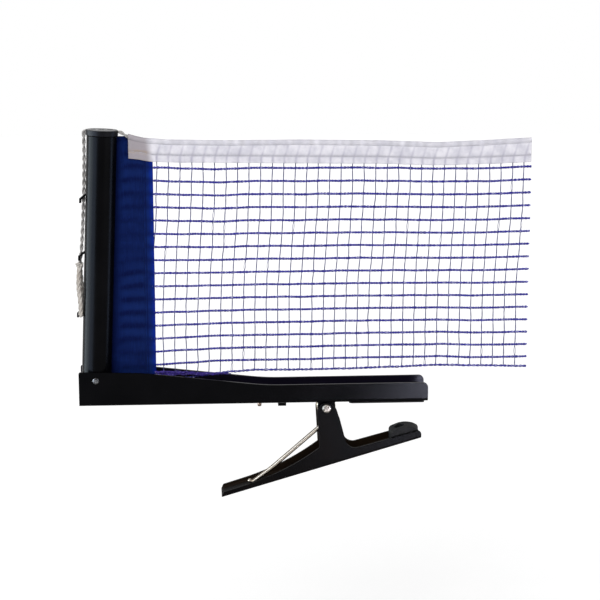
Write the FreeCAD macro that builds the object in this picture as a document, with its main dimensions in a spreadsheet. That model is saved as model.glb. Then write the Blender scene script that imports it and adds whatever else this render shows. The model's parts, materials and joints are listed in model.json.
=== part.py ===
import FreeCAD, Part
import os
import re
from math import atan2, ceil, cos, hypot, pi, radians, sin, tan

import Sketcher
from FreeCAD import Placement, Rotation, Vector

# A clip-on clamp for a table tennis net, with its post and the end of the net. Millimetres and degrees.
# X runs along the net towards the middle of the table, Y across the arm, Z up.
# The origin is the centre of the arm pad's underside, so the table's top face is the plane Z = 0.

# Driving sizes: name, value, meaning
SIZES = [
    ("pad_start", 4.5, "from the table's side line to the arm pad"),
    ("pad_length", 45.0, "arm pad along the arm"),
    ("pad_width", 19.0, "arm pad across the arm"),
    ("pad_thickness", 0.8, "arm pad"),
    ("pad_corner", 2.0, "arm pad's corner radius"),
    ("table_thickness", 16.0, "table top that the jaw grips in the rest pose"),
    ("metal", 1.5, "sheet thickness of arm, bracket and lever"),
    ("bend_radius", 2.0, "outer radius of the sheet's bends"),
    ("arm_out", 155.0, "from the side line to the arm's outer end"),
    ("arm_over", 51.4, "from the side line to the arm's end over the table"),
    ("wall_post", 20.55, "arm wall at its outer end"),
    ("wall_crest", 19.55, "arm wall where it starts to fall"),
    ("wall_low", 11.25, "arm wall where it flattens"),
    ("wall_over", 11.45, "arm wall at its end over the table"),
    ("crest_out", 117.0, "from the side line to the start of the fall"),
    ("low_out", 45.0, "from the side line to the end of the fall"),
    ("wall_sweep", 150.0, "radius of the bends in the arm wall's upper edge"),
    ("over_end_round", 3.0, "arm wall's corner over the table"),
    ("outer_end_round", 1.0, "arm wall's corner at its outer end"),
    ("post_diameter", 17.5, "post tube outside"),
    ("post_wall", 1.2, "post tube wall"),
    ("post_gap", 0.1, "between the post and each arm wall, and under its foot"),
    ("post_reach", 145.0, "from the side line to the post's rivet"),
    ("post_rivet_up", 13.95, "post rivet above the arm's floor"),
    ("post_height", 142.9, "post tube above its rivet"),
    ("post_lean", 2.5, "angle that the net pulls the post inward"),
    ("slot_width", 2.0, "slot along the post that the sleeve comes out of"),
    ("hook_lowest", 35.9, "lowest hook's mouth above the post rivet"),
    ("hook_pitch", 33.8, "from hook to hook"),
    ("hook_count", 3, "cord hooks"),
    ("hook_height", 5.6, "hook from mouth to root"),
    ("hook_width", 3.0, "hook round the post"),
    ("hook_bend", 2.0, "hook's outer face from its mouth to its slope"),
    ("hook_metal", 1.2, "hook tab thickness"),
    ("hook_slit", 0.2, "slit beside each hook"),
    ("hook_reach", 3.5, "hook's outer face off the post"),
    ("cap_diameter", 18.6, "cap flange"),
    ("cap_height", 3.5, "cap flange"),
    ("cap_plug", 6.0, "cap plug inside the tube"),
    ("cap_rim", 0.5, "radius of the cap's rims"),
    ("tube_rim", 0.4, "radius of the tube's upper rim"),
    ("plug_fit", 0.05, "radial clearance of plugs in the tube"),
    ("groove_width", 3.0, "cord groove in the cap"),
    ("groove_depth", 2.2, "cord groove in the cap"),
    ("groove_offset", 1.8, "cord groove behind the cap's middle"),
    ("groove_lip", 0.9, "from the cap's rim to where the groove's floor turns down"),
    ("insert_top", 8.0, "foot insert above the post rivet"),
    ("small_rivet", 2.5, "shank of the post rivet and the jaw rivet"),
    ("small_head", 3.9, "head of the post rivet"),
    ("small_dome", 1.0, "height of the small rivets' heads"),
    ("rivet_fit", 0.05, "radial clearance of a rivet in its holes"),
    ("pivot_out", 9.0, "lever pivot outside the side line"),
    ("pivot_drop", 3.85, "lever pivot below the arm's floor"),
    ("pivot_rivet", 4.0, "pivot rivet shank"),
    ("pivot_head", 5.6, "pivot rivet head"),
    ("pivot_dome", 1.7, "pivot rivet head height"),
    ("ear_half", 5.2, "half the width of a bracket ear"),
    ("ear_gap", 0.2, "between the coil and each ear"),
    ("cheek_gap", 0.3, "between an ear and the lever's cheek"),
    ("head_gap", 0.1, "between the lever's cheeks and the pivot rivet's heads"),
    ("bracket_land", 5.0, "bracket's web beyond each end of its window"),
    ("bracket_fit", 0.15, "between the bracket's ears and the arm's window"),
    ("window_back", 11.6, "arm's window outside the pivot"),
    ("window_front", 5.6, "arm's window inside the pivot"),
    ("wire", 2.5, "spring wire"),
    ("coil_radius", 4.5, "coil to the wire's centre"),
    ("coil_pitch", 3.2, "coil from turn to turn"),
    ("coil_whole_turns", 2, "whole turns of the coil"),
    ("spacer_gap", 0.25, "between the coil and the spacer"),
    ("spacer_fit", 0.05, "spacer's clearance on the rivet and between the ears"),
    ("leg_dip", 12.8, "fall of the upper leg as it leaves the coil"),
    ("leg_out", 39.5, "upper leg's end outside the pivot"),
    ("leg_gap", 0.05, "between the upper leg and the arm's floor"),
    ("leg_bend", 15.0, "radius where the upper leg meets the floor"),
    ("leg_hook", 3.6, "upper leg's end hook below the leg"),
    ("leg_end_bend", 2.0, "bend radius at the end of each leg"),
    ("coil_fall", 65.2, "fall of the lower leg as it leaves the coil"),
    ("knee_run", 6.8, "lower leg from the coil to its knee"),
    ("knee_bend", 5.0, "bend radius of the knee"),
    ("lower_leg_steeper", 0.95, "lower leg's fall below its knee, over that of a straight run to its end"),
    ("lower_leg_straight", 45.0, "lower leg from its knee to where it flattens"),
    ("lower_leg_bow", 120.0, "radius where the lower leg flattens"),
    ("lower_leg_out", 45.0, "lower leg's end outside the pivot"),
    ("lower_leg_gap", 0.15, "between the lower leg and the lever's web"),
    ("lower_leg_lift", 0.6, "rise of the lower leg's rounded end over the corner that it rounds"),
    ("lower_hook", 2.9, "lower leg's upturned end"),
    ("lower_hook_angle", 120.0, "direction of the upturned end"),
    ("strap_out", 26.0, "middle of the leg's strap outside the pivot"),
    ("strap_length", 4.8, "strap along the arm"),
    ("strap_gap", 0.25, "between the strap and the wire"),
    ("lever_slope", 16.2, "angle of the lever's web in the rest pose"),
    ("lever_depth", 36.1, "lever's underside straight below the pivot"),
    ("handle_reach", 63.3, "handle's end outside the pivot"),
    ("handle_height", 3.2, "handle's cheeks at its end"),
    ("jaw_reach", 57.0, "jaw's end inside the pivot"),
    ("jaw_height", 5.2, "jaw's cheeks at its end"),
    ("throat_height", 6.2, "jaw's cheeks at the throat"),
    ("cheek_front", 13.0, "cheek's edge inside the pivot, at the throat"),
    ("shoulder_front", 7.75, "cheek's edge inside the pivot, at its shoulder"),
    ("cheek_top", 3.25, "cheeks above the pivot"),
    ("cheek_round", 5.4, "radius of the cheeks round the pivot"),
    ("shoulder_round", 10.0, "radius in the cheek's front edge below the pivot"),
    ("neck_back", 5.8, "cheek's outer edge outside the pivot, at the top"),
    ("neck_round", 5.6, "radius of the cheek's outer upper corner"),
    ("neck_foot", 4.2, "cheek's outer edge outside the pivot, at the handle"),
    ("neck_height", 24.3, "cheek's outer edge below the pivot"),
    ("front_slope", 25.0, "cheek's upper front edge from the vertical"),
    ("throat_round", 6.0, "radius between the cheek's front edge and the jaw"),
    ("sweep_out", 25.2, "bend of the handle's upper edge outside the pivot"),
    ("sweep_drop", 39.5, "bend of the handle's upper edge below the pivot"),
    ("handle_sweep", 150.0, "radius of the handle's upper edge"),
    ("handle_rake", 1.7, "lean of the handle's end"),
    ("small_round", 0.6, "radius of the handle's small corners"),
    ("jaw_foot_round", 1.2, "lower corner of the jaw's end"),
    ("jaw_top_round", 2.0, "upper corner of the jaw's end"),
    ("jaw_pad_inset", 1.5, "jaw's end beyond the jaw pad"),
    ("jaw_pad_length", 16.5, "jaw pad along the jaw"),
    ("jaw_pad_thin", 4.0, "least height of the jaw pad's inner end, where a steep jaw moves it out"),
    ("jaw_pad_fit", 0.35, "between the jaw pad and each cheek"),
    ("jaw_pad_drop", 2.8, "fall of the jaw pad's crown to its outer end"),
    ("jaw_crown_at", 9.5, "jaw pad's crown from its outer end"),
    ("jaw_crown_round", 15.0, "radius of the jaw pad's crown"),
    ("jaw_crown_corner", 0.95, "where the crown's two slopes would meet, above its top"),
    ("jaw_pad_end_round", 2.0, "radius at the jaw pad's inner end"),
    ("jaw_pad_start_round", 2.5, "radius at the jaw pad's outer end"),
    ("jaw_rivet_in", 8.0, "jaw rivet from the jaw pad's outer end"),
    ("jaw_rivet_head", 6.0, "jaw rivet's heads"),
    ("sink_gap", 0.2, "between the jaw rivet's sunk head and the pad"),
    ("jaw_pad_floor", 1.6, "jaw pad under the sunk head"),
    ("sleeve_cloth", 0.5, "one ply of the sleeve"),
    ("sleeve_end_out", 113.1, "from the side line to the sleeve's sewn edge"),
    ("sleeve_low", 7.2, "sleeve's lower end above the table"),
    ("sleeve_short", 0.6, "sleeve's upper end below the tube's end"),
    ("sleeve_dip", 1.0, "fall of the sleeve's upper edge to the tape, under the cord"),
    ("rod_diameter", 5.0, "rod in the sleeve's hem"),
    ("rod_gap", 0.1, "between the rod and its hem"),
    ("hem_gap", 0.4, "between the hem and the tube, insert and cap"),
    ("binding_width", 5.4, "band sewn over the sleeve's edge"),
    ("binding_out", 115.2, "from the side line to the binding's outer edge"),
    ("binding_ply", 0.4, "binding band"),
    ("binding_short", 0.5, "binding's lower end above the sleeve's"),
    ("sewn_gap", 0.05, "between sewn plies"),
    ("twine", 0.8, "thickness of the netting"),
    ("strand", 0.9, "width of the netting's strands"),
    ("net_columns", 24, "gaps along the net"),
    ("net_rows", 12, "gaps up the net"),
    ("net_end", 112.0, "from the side line to the end of this piece of net"),
    ("net_tuck", 4.0, "netting inside the tape"),
    ("net_entry", 2.5, "netting inside the binding"),
    ("line_diameter", 0.9, "bottom line"),
    ("line_gap", 0.3, "between the bottom line's end and the binding"),
    ("tape_ply", 0.45, "tape"),
    ("tape_out", 123.3, "from the side line to the tape's outer end"),
    ("tunnel_wall", 0.4, "tape round the cord"),
    ("tunnel_gap", 0.1, "between the cord and its tunnel"),
    ("fold_gap", 0.25, "between the tunnel and what the tape is folded over"),
    ("band_gap", 0.3, "between the binding's upper end and the tape"),
    ("cord_diameter", 2.1, "tension cord"),
    ("cord_gap", 0.1, "between the cord and the cap, post or hook"),
    ("cord_bend", 2.0, "cord's bend over the cap"),
    ("knot_diameter", 4.8, "cord's knot"),
]

# Worked out from the driving sizes: name, formula
WORKED_OUT = [
    ("side_line", "-(pad_start + pad_length / 2)"),
    ("floor_low", "pad_thickness"),
    ("floor_top", "floor_low + metal"),
    ("arm_inner", "post_diameter + 2 * post_gap"),
    ("arm_width", "arm_inner + 2 * metal"),
    ("arm_left", "side_line - arm_out"),
    ("arm_right", "side_line + arm_over"),
    ("post_x", "side_line - post_reach"),
    ("post_z", "floor_top + post_rivet_up"),
    ("post_radius", "post_diameter / 2"),
    ("bore_radius", "post_radius - post_wall"),
    ("foot_drop", "(post_rivet_up - post_gap - post_radius * sin(post_lean * 1deg)) / cos(post_lean * 1deg)"),
    ("plug_radius", "bore_radius - plug_fit"),
    ("cap_radius", "cap_diameter / 2"),
    ("post_top", "post_z + (post_height + cap_height) * cos(post_lean * 1deg)"),
    ("pivot_x", "side_line - pivot_out"),
    ("pivot_z", "floor_low - pivot_drop"),
    ("web_rise", "tan(lever_slope * 1deg)"),
    ("web_drop", "lever_depth - metal / cos(lever_slope * 1deg)"),
    ("leg_over_web", "(wire / 2 + lower_leg_gap - lower_leg_lift) / cos(lever_slope * 1deg)"),
    ("leg_end_drop", "lower_leg_out * web_rise + web_drop - leg_over_web"),
    ("coil_turns", "coil_whole_turns + (180 + leg_dip - coil_fall) / 360"),
    ("coil_half", "coil_turns * coil_pitch / 2"),
    ("ear_inner", "coil_half + wire / 2 + ear_gap"),
    ("ear_outer", "ear_inner + metal"),
    ("cheek_inner", "ear_outer + cheek_gap"),
    ("lever_width", "2 * (cheek_inner + metal)"),
    ("spacer_radius", "coil_radius - wire / 2 - spacer_gap"),
    ("leg_z", "floor_low - leg_gap - wire / 2"),
    ("strap_room", "wire / 2 + strap_gap"),
    ("crown_z", "-table_thickness - pivot_z"),
    ("thick_enough", "(crown_z - jaw_pad_drop / 2 + web_drop - jaw_pad_thin) / web_rise"),
    ("jaw_pad_end", "min(jaw_reach - jaw_pad_inset; thick_enough)"),
    ("jaw_pad_start", "jaw_pad_end - jaw_pad_length"),
    ("jaw_rivet_at", "jaw_pad_start + jaw_rivet_in"),
]

# How far a cut runs past what it cuts
PAST = 1
# How much of the shorter of its two runs each half of an arc takes up
ARC_SHARE = 0.45
# Radius of a rivet head's edge, as a share of the head's height
HEAD_ROUND = 0.8

doc = FreeCAD.newDocument("net_clamp")
sheet = doc.addObject("Spreadsheet::Sheet", "Sizes")
ALIASES = [row[0] for row in SIZES + WORKED_OUT]


def fill_sheet():
    """Write every size with its alias and meaning, then the formulas below them."""
    for row, (name, number, meaning) in enumerate(SIZES, start=1):
        sheet.set(f"A{row}", name)
        sheet.set(f"B{row}", str(number))
        sheet.set(f"C{row}", meaning)
        sheet.setAlias(f"B{row}", name)
    for row, (name, formula) in enumerate(WORKED_OUT, start=len(SIZES) + 1):
        sheet.set(f"A{row}", name)
        sheet.set(f"B{row}", "=" + formula)
        sheet.setAlias(f"B{row}", name)
    doc.recompute()


def size(formula):
    """The number that a formula of the sheet's names comes to."""
    return float(sheet.evalExpression(str(formula)))


def bind(feature, path, formula):
    """Tie a property to a formula of the sheet's names."""
    names = re.sub(r"[a-z_]+", lambda word: "Sizes." + word[0] if word[0] in ALIASES else word[0], str(formula))
    feature.setExpression(path, names)


# Sketches and features


def new_body(name):
    body = doc.addObject("PartDesign::Body", name + "_body")
    body.Label = name
    return body


def plane_of(body, role):
    return next(feature for feature in body.Origin.OriginFeatures if feature.Role == role)


def new_sketch(body, name, role, offset):
    """A sketch on one of the body's origin planes, moved along the plane's normal by a formula."""
    sketch = body.newObject("Sketcher::SketchObject", name)
    sketch.AttachmentSupport = [(plane_of(body, role), "")]
    sketch.MapMode = "FlatFace"
    bind(sketch, "AttachmentOffset.Base.z", offset)
    return sketch


def pin_down(sketch, element, point, formulas):
    """Tie a point of the sketch to its two distances from the origin."""
    for kind, formula in zip(("DistanceX", "DistanceY"), formulas):
        if str(formula) == "0":
            axis = -2 if kind == "DistanceX" else -1
            sketch.addConstraint(Sketcher.Constraint("PointOnObject", element, point, axis))
        else:
            index = sketch.addConstraint(Sketcher.Constraint(kind, -1, 1, element, point, size(formula)))
            bind(sketch, f"Constraints[{index}]", formula)


def outline(body, name, role, corners, offset="0"):
    """A closed sketch whose corners are tied to formulas: across, up and, where rounded, a radius."""
    sketch = new_sketch(body, name, role, offset)
    places = [Vector(size(corner[0]), size(corner[1]), 0) for corner in corners]
    radii = [size(corner[2]) if len(corner) > 2 else 0 for corner in corners]
    count = len(corners)
    arcs = [corner_arc(places[i - 1], places[i], places[(i + 1) % count], radii[i]) for i in range(count)]
    for i in range(count):
        sketch.addGeometry(Part.LineSegment(arcs[i][1], arcs[(i + 1) % count][0]))
    for i, corner in enumerate(corners):
        before = (i - 1) % count
        if radii[i] == 0:
            sketch.addConstraint(Sketcher.Constraint("Coincident", before, 2, i, 1))
            pin_down(sketch, i, 1, corner[:2])
            continue
        start, end, middle, left_turn = arcs[i]
        angles = [atan2(spot.y - middle.y, spot.x - middle.x) for spot in (start, end)]
        circle = Part.Circle(middle, Vector(0, 0, 1), radii[i])
        arc = sketch.addGeometry(Part.ArcOfCircle(circle, *(angles if left_turn else angles[::-1])))
        first, last = (1, 2) if left_turn else (2, 1)
        mark = sketch.addGeometry(Part.Point(places[i]), True)
        pin_down(sketch, mark, 1, corner[:2])
        sketch.addConstraint(Sketcher.Constraint("PointOnObject", mark, 1, before))
        sketch.addConstraint(Sketcher.Constraint("PointOnObject", mark, 1, i))
        sketch.addConstraint(Sketcher.Constraint("Tangent", before, 2, arc, first))
        sketch.addConstraint(Sketcher.Constraint("Tangent", arc, last, i, 1))
        index = sketch.addConstraint(Sketcher.Constraint("Radius", arc, radii[i]))
        bind(sketch, f"Constraints[{index}]", corner[2])
    return sketch


def corner_arc(before, here, after, radius):
    """Start, end and centre of the arc that rounds a corner, and whether it turns left."""
    run_in = (here - before).normalize()
    run_out = (after - here).normalize()
    left_turn = run_in.cross(run_out).z > 0
    step = radius * tan(run_in.getAngle(run_out) / 2)
    side = Vector(-run_in.y, run_in.x, 0) * (1 if left_turn else -1)
    start = here - run_in * step
    return start, here + run_out * step, start + side * radius, left_turn


def circles(body, name, role, centre, radii, offset="0"):
    """A sketch of circles round one centre."""
    sketch = new_sketch(body, name, role, offset)
    middle = Vector(size(centre[0]), size(centre[1]), 0)
    for i, radius in enumerate(radii):
        sketch.addGeometry(Part.Circle(middle, Vector(0, 0, 1), size(radius)))
        pin_down(sketch, i, 3, centre)
        index = sketch.addConstraint(Sketcher.Constraint("Radius", i, size(radius)))
        bind(sketch, f"Constraints[{index}]", radius)
    return sketch


def extrude(body, kind, sketch, length, symmetric=True):
    """Pad or Pocket a sketch, to both sides of its plane unless told otherwise."""
    before = volume_of(body)
    feature = body.newObject("PartDesign::" + kind, sketch.Name + "_" + kind.lower())
    feature.Profile = sketch
    feature.SideType = "Symmetric" if symmetric else "One side"
    bind(feature, "Length", length)
    doc.recompute()
    change = volume_of(body) - before
    if (change <= 0) if kind == "Pad" else (change >= 0):
        raise ValueError(f"{feature.Name} changed the volume by {change:.3f}")
    return feature


def volume_of(body):
    return 0.0 if body.Tip is None else body.Shape.Volume


def box_corners(left, right, low, high):
    return [(left, low), (right, low), (right, high), (left, high)]


def edges_where(shape, test):
    """Names of the edges whose two ends and middle all pass a test."""
    names = []
    for number, edge in enumerate(shape.Edges, start=1):
        first, last = edge.ParameterRange
        points = [edge.valueAt(first + (last - first) * share) for share in (0.0, 0.5, 1.0)]
        if all(test(point) for point in points):
            names.append(f"Edge{number}")
    return names


def round_edges(body, name, radius, test, count):
    """Fillet the edges that pass a test, after checking how many there are."""
    base = body.Tip
    names = edges_where(base.Shape, test)
    if len(names) != count:
        raise ValueError(f"{name} found {len(names)} edges, not {count}")
    fillet = body.newObject("PartDesign::Fillet", name)
    fillet.Base = (base, names)
    bind(fillet, "Radius", radius)
    doc.recompute()
    return fillet


def near(value, formula):
    tolerance = 0.01
    return abs(value - size(formula)) < tolerance


def cylinder(name, radius, height):
    tool = doc.addObject("Part::Cylinder", name)
    bind(tool, "Radius", radius)
    bind(tool, "Height", height)
    return tool


def box(name, left, right, depth, low, high):
    """A box between two X and two Z formulas, centred on Y with a whole depth."""
    block = doc.addObject("Part::Box", name)
    bind(block, "Length", f"({right}) - ({left})")
    bind(block, "Width", depth)
    bind(block, "Height", f"({high}) - ({low})")
    place(block, left, f"-({depth}) / 2", low)
    return block


def place(feature, across, along, up):
    for axis, formula in zip("xyz", (across, along, up)):
        bind(feature, f"Placement.Base.{axis}", formula)


def turn(feature, axis, angle):
    """Turn a feature about an axis by a formula in degrees."""
    feature.Placement = Placement(feature.Placement.Base, Rotation(axis, size(angle)))
    bind(feature, "Placement.Rotation.Angle", f"({angle}) * 1deg")


def along_y(feature, across, up, length):
    """Lay a cylinder made along Z along Y, centred on the plane Y = 0."""
    turn(feature, Vector(1, 0, 0), "90")
    place(feature, across, f"({length}) / 2", up)
    return feature


def cut(name, base, *tools):
    result = doc.addObject("Part::Cut", name)
    result.Base = base
    result.Tool = tools[0] if len(tools) == 1 else fuse(name + "_tools", *tools)
    return result


def fuse(name, *shapes):
    result = doc.addObject("Part::MultiFuse", name)
    result.Shapes = list(shapes)
    return result


def raw_piece(name, shape):
    """A feature whose shape is worked out in this script."""
    feature = doc.addObject("Part::Feature", name)
    feature.Shape = shape
    return feature


PIECES = {}


def keep(name, feature):
    feature.Label = name
    PIECES[name] = feature
    return feature


# Paths of straight runs and tangent arcs


def arc_edge(start, heading, end):
    """The arc, or line if straight, that leaves start along heading and reaches end."""
    chord = end - start
    side = heading - chord * (heading.dot(chord) / chord.dot(chord))
    straight = 1e-6
    if side.Length < straight:
        return Part.LineSegment(start, end).toShape()
    half_turn = heading.getAngle(chord) / 2
    middle = (start + end) / 2 + side.normalize() * (chord.Length / 2 * tan(half_turn))
    return Part.Arc(start, middle, end).toShape()


def biarc(start, heading, end, final):
    """Two tangent arcs from one point and heading to another."""
    span = end - start
    spread = 2 * (1 - heading.dot(final))
    lead = span.dot(heading + final)
    reach = (-lead + (lead * lead + spread * span.dot(span)) ** 0.5) / spread
    joint = (start + heading * reach + end - final * reach) / 2
    first = arc_edge(start, heading, joint)
    second = arc_edge(joint, (end - final * reach - start - heading * reach).normalize(), end)
    return [first, second]


def widest_bends(points):
    """The radius at each inner point: a share of the shorter run over the tangent of half the turn."""
    radii = []
    for before, here, after in zip(points, points[1:], points[2:]):
        run_in = here - before
        run_out = after - here
        half_turn = run_in.getAngle(run_out) / 2
        radii.append(ARC_SHARE * min(run_in.Length, run_out.Length) / tan(half_turn))
    return radii


def rounded_path(points, radii):
    """Edges along a list of points, with a tangent arc of the given radius at each inner point."""
    edges = []
    start = points[0]
    for here, after, radius in zip(points[1:], points[2:], radii):
        run_in = (here - start).normalize()
        run_out = (after - here).normalize()
        half_turn = run_in.getAngle(run_out) / 2
        step = radius * tan(half_turn)
        arc_start = here - run_in * step
        arc_end = here + run_out * step
        edges.append(Part.LineSegment(start, arc_start).toShape())
        edges.append(arc_edge(arc_start, run_in, arc_end))
        start = arc_end
    edges.append(Part.LineSegment(start, points[-1]).toShape())
    return edges


def tube(edges, radius):
    """A solid tube along edges, whose volume is compared with its section times its length."""
    path = Part.Wire(edges)
    first = edges[0]
    start = first.valueAt(first.FirstParameter)
    heading = first.tangentAt(first.FirstParameter)
    section = Part.Wire([Part.Circle(start, heading, radius).toShape()])
    solid = path.makePipeShell([section], True, False)
    share = solid.Volume / (pi * radius * radius * path.Length)
    tolerance = 0.002
    if abs(share - 1) > tolerance or not solid.isValid():
        raise ValueError(f"tube of {path.Length:.1f} mm holds {share:.4f} of its section times its length")
    return solid, path.Length


def least_self_gap(edges, diameter, apart):
    """The least gap between stretches of a tube that are some way apart along it, measured on points."""
    step = 0.4
    points = []
    walked = 0.0
    for edge in edges:
        count = max(2, ceil(edge.Length / step))
        for i in range(count):
            share = i / count
            first, last = edge.ParameterRange
            points.append((walked + edge.Length * share, edge.valueAt(first + (last - first) * share)))
        walked += edge.Length
    gaps = [
        point.distanceToPoint(other)
        for i, (at, point) in enumerate(points)
        for other_at, other in points[i + 1:]
        if other_at - at > apart
    ]
    return min(gaps) - diameter


# Arm


def make_arm():
    """U channel, open upward, with its window, its strap over the spring's leg and its rivet hole."""
    body = new_body("arm_channel")
    corners = [
        ("arm_left", "floor_low"), ("arm_right", "floor_low"),
        ("arm_right", "floor_low + wall_over", "over_end_round"),
        ("side_line - low_out", "floor_low + wall_low", "wall_sweep"),
        ("side_line - crest_out", "floor_low + wall_crest", "wall_sweep"),
        ("arm_left", "floor_low + wall_post", "outer_end_round"),
    ]
    extrude(body, "Pad", outline(body, "arm_side", "XZ_Plane", corners), "arm_width")
    trough = box_corners(f"arm_left - {PAST}", f"arm_right + {PAST}", "floor_top", "floor_low + 2 * wall_post")
    extrude(body, "Pocket", outline(body, "trough", "XZ_Plane", trough), "arm_inner")
    round_edges(
        body, "outer_bends", "bend_radius",
        lambda point: near(point.z, "floor_low") and near(abs(point.y), "arm_width / 2"), 2,
    )
    round_edges(
        body, "inner_bends", "bend_radius - metal",
        lambda point: near(point.z, "floor_top") and near(abs(point.y), "arm_inner / 2"), 2,
    )
    low = f"floor_low - {PAST}"
    high = f"floor_top + {PAST}"
    window = box_corners("pivot_x - window_back", "pivot_x + window_front", low, high)
    extrude(body, "Pocket", outline(body, "window", "XZ_Plane", window), "2 * (ear_outer + bracket_fit)")
    add_strap(body)
    hole = circles(body, "post_rivet_hole", "XZ_Plane", ("post_x", "post_z"), ["small_rivet / 2 + rivet_fit"])
    extrude(body, "Pocket", hole, f"arm_width + 2 * {PAST}")
    keep("arm_channel", body)


def add_strap(body):
    """A strip pressed down from the floor that holds the spring's upper leg."""
    left = "pivot_x - strap_out - strap_length / 2"
    right = "pivot_x - strap_out + strap_length / 2"
    strap_low = "leg_z - strap_room - metal"
    strap = box_corners(left, right, strap_low, "floor_top")
    # The XZ plane's normal points to -Y, and the upper leg lies at Y = coil_half.
    extrude(body, "Pad", outline(body, "strap", "XZ_Plane", strap, "-coil_half"), "2 * (strap_room + metal)")
    passage = box_corners(f"{left} - {PAST}", f"{right} + {PAST}", "leg_z - strap_room", "floor_low")
    extrude(body, "Pocket", outline(body, "leg_passage", "XZ_Plane", passage, "-coil_half"), "2 * strap_room")
    lance = box_corners(left, right, "leg_z", f"floor_top + {PAST}")
    extrude(body, "Pocket", outline(body, "lanced_hole", "XZ_Plane", lance, "-coil_half"), "2 * strap_room")


def make_arm_pad():
    """Rubber strip under the arm, over the table."""
    body = new_body("arm_pad")
    half = "pad_length / 2"
    corners = [(f"-{half}", "0"), (half, "0"), (half, "pad_thickness"), (f"-{half}", "pad_thickness")]
    extrude(body, "Pad", outline(body, "pad_side", "XZ_Plane", corners), "pad_width")
    round_edges(
        body, "pad_corners", "pad_corner",
        lambda point: near(abs(point.x), half) and near(abs(point.y), "pad_width / 2"), 4,
    )
    keep("arm_pad", body)


def make_bracket():
    """Pressed bracket on the arm's floor, whose ears pass down through the window and carry the pivot."""
    window_left = "pivot_x - window_back"
    window_right = "pivot_x + window_front"
    web = box("bracket_web", f"{window_left} - bracket_land", f"{window_right} + bracket_land",
              "2 * ear_outer", "floor_top", "floor_top + metal")
    ears = box("bracket_ears", "pivot_x - ear_half", "pivot_x + ear_half", "2 * ear_outer", "pivot_z", "floor_top")
    tips = along_y(cylinder("bracket_tips", "ear_half", "2 * ear_outer"), "pivot_x", "pivot_z", "2 * ear_outer")
    blank = fuse("bracket_blank", web, ears, tips)
    between = box("between_ears", window_left, window_right, "2 * ear_inner",
                  "pivot_z - 2 * ear_half", "floor_top + 2 * metal")
    through = f"2 * (ear_outer + {PAST})"
    hole = along_y(cylinder("bracket_hole", "pivot_rivet / 2 + rivet_fit", through), "pivot_x", "pivot_z", through)
    keep("hinge_bracket", cut("hinge_bracket", blank, between, hole))


# Rivets


def rivet_body(name, shank, grip, head, dome):
    """A rivet along Z, centred on its grip, with two domed heads."""
    body = new_body(name)
    low = f"-({grip}) / 2"
    high = f"({grip}) / 2"
    corners = [
        ("0", f"{low} - {dome}"), (f"{head} / 2", f"{low} - {dome}"), (f"{head} / 2", low),
        (f"{shank} / 2", low), (f"{shank} / 2", high),
        (f"{head} / 2", high), (f"{head} / 2", f"{high} + {dome}"), ("0", f"{high} + {dome}"),
    ]
    sketch = outline(body, name + "_profile", "XZ_Plane", corners)
    revolution = body.newObject("PartDesign::Revolution", name + "_turned")
    revolution.Profile = sketch
    revolution.ReferenceAxis = (plane_of(body, "Z_Axis"), [""])
    revolution.Angle = 360
    doc.recompute()
    end = f"({grip}) / 2 + {dome}"
    round_edges(
        body, name + "_domes", f"{HEAD_ROUND} * {dome}",
        lambda point: near(abs(point.z), end) and near(hypot(point.x, point.y), f"{head} / 2"), 2,
    )
    return body


def make_rivets():
    """The post's rivet and the lever's pivot rivet, both along Y."""
    post_rivet = rivet_body("post_rivet", "small_rivet", "arm_width", "small_head", "small_dome")
    turn(post_rivet, Vector(1, 0, 0), "90")
    place(post_rivet, "post_x", "0", "post_z")
    keep("post_rivet", post_rivet)
    pivot = rivet_body("pivot_rivet", "pivot_rivet", "lever_width + 2 * head_gap", "pivot_head", "pivot_dome")
    turn(pivot, Vector(1, 0, 0), "90")
    place(pivot, "pivot_x", "0", "pivot_z")
    keep("pivot_rivet", pivot)


def make_spacer():
    """Tube on the pivot rivet, between the ears and inside the coil."""
    length = "2 * (ear_inner - spacer_fit)"
    outside = along_y(cylinder("spacer_outside", "spacer_radius", length), "pivot_x", "pivot_z", length)
    through = f"{length} + 2 * {PAST}"
    inside = cylinder("spacer_inside", "pivot_rivet / 2 + spacer_fit", through)
    along_y(inside, "pivot_x", "pivot_z", through)
    keep("pivot_spacer", cut("pivot_spacer", outside, inside))


# Lever


def web_line(drop, across):
    """Height, over the arm's frame, of a line parallel to the lever's web at a place inside the pivot."""
    return f"pivot_z - ({drop}) + ({across}) * web_rise"


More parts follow.
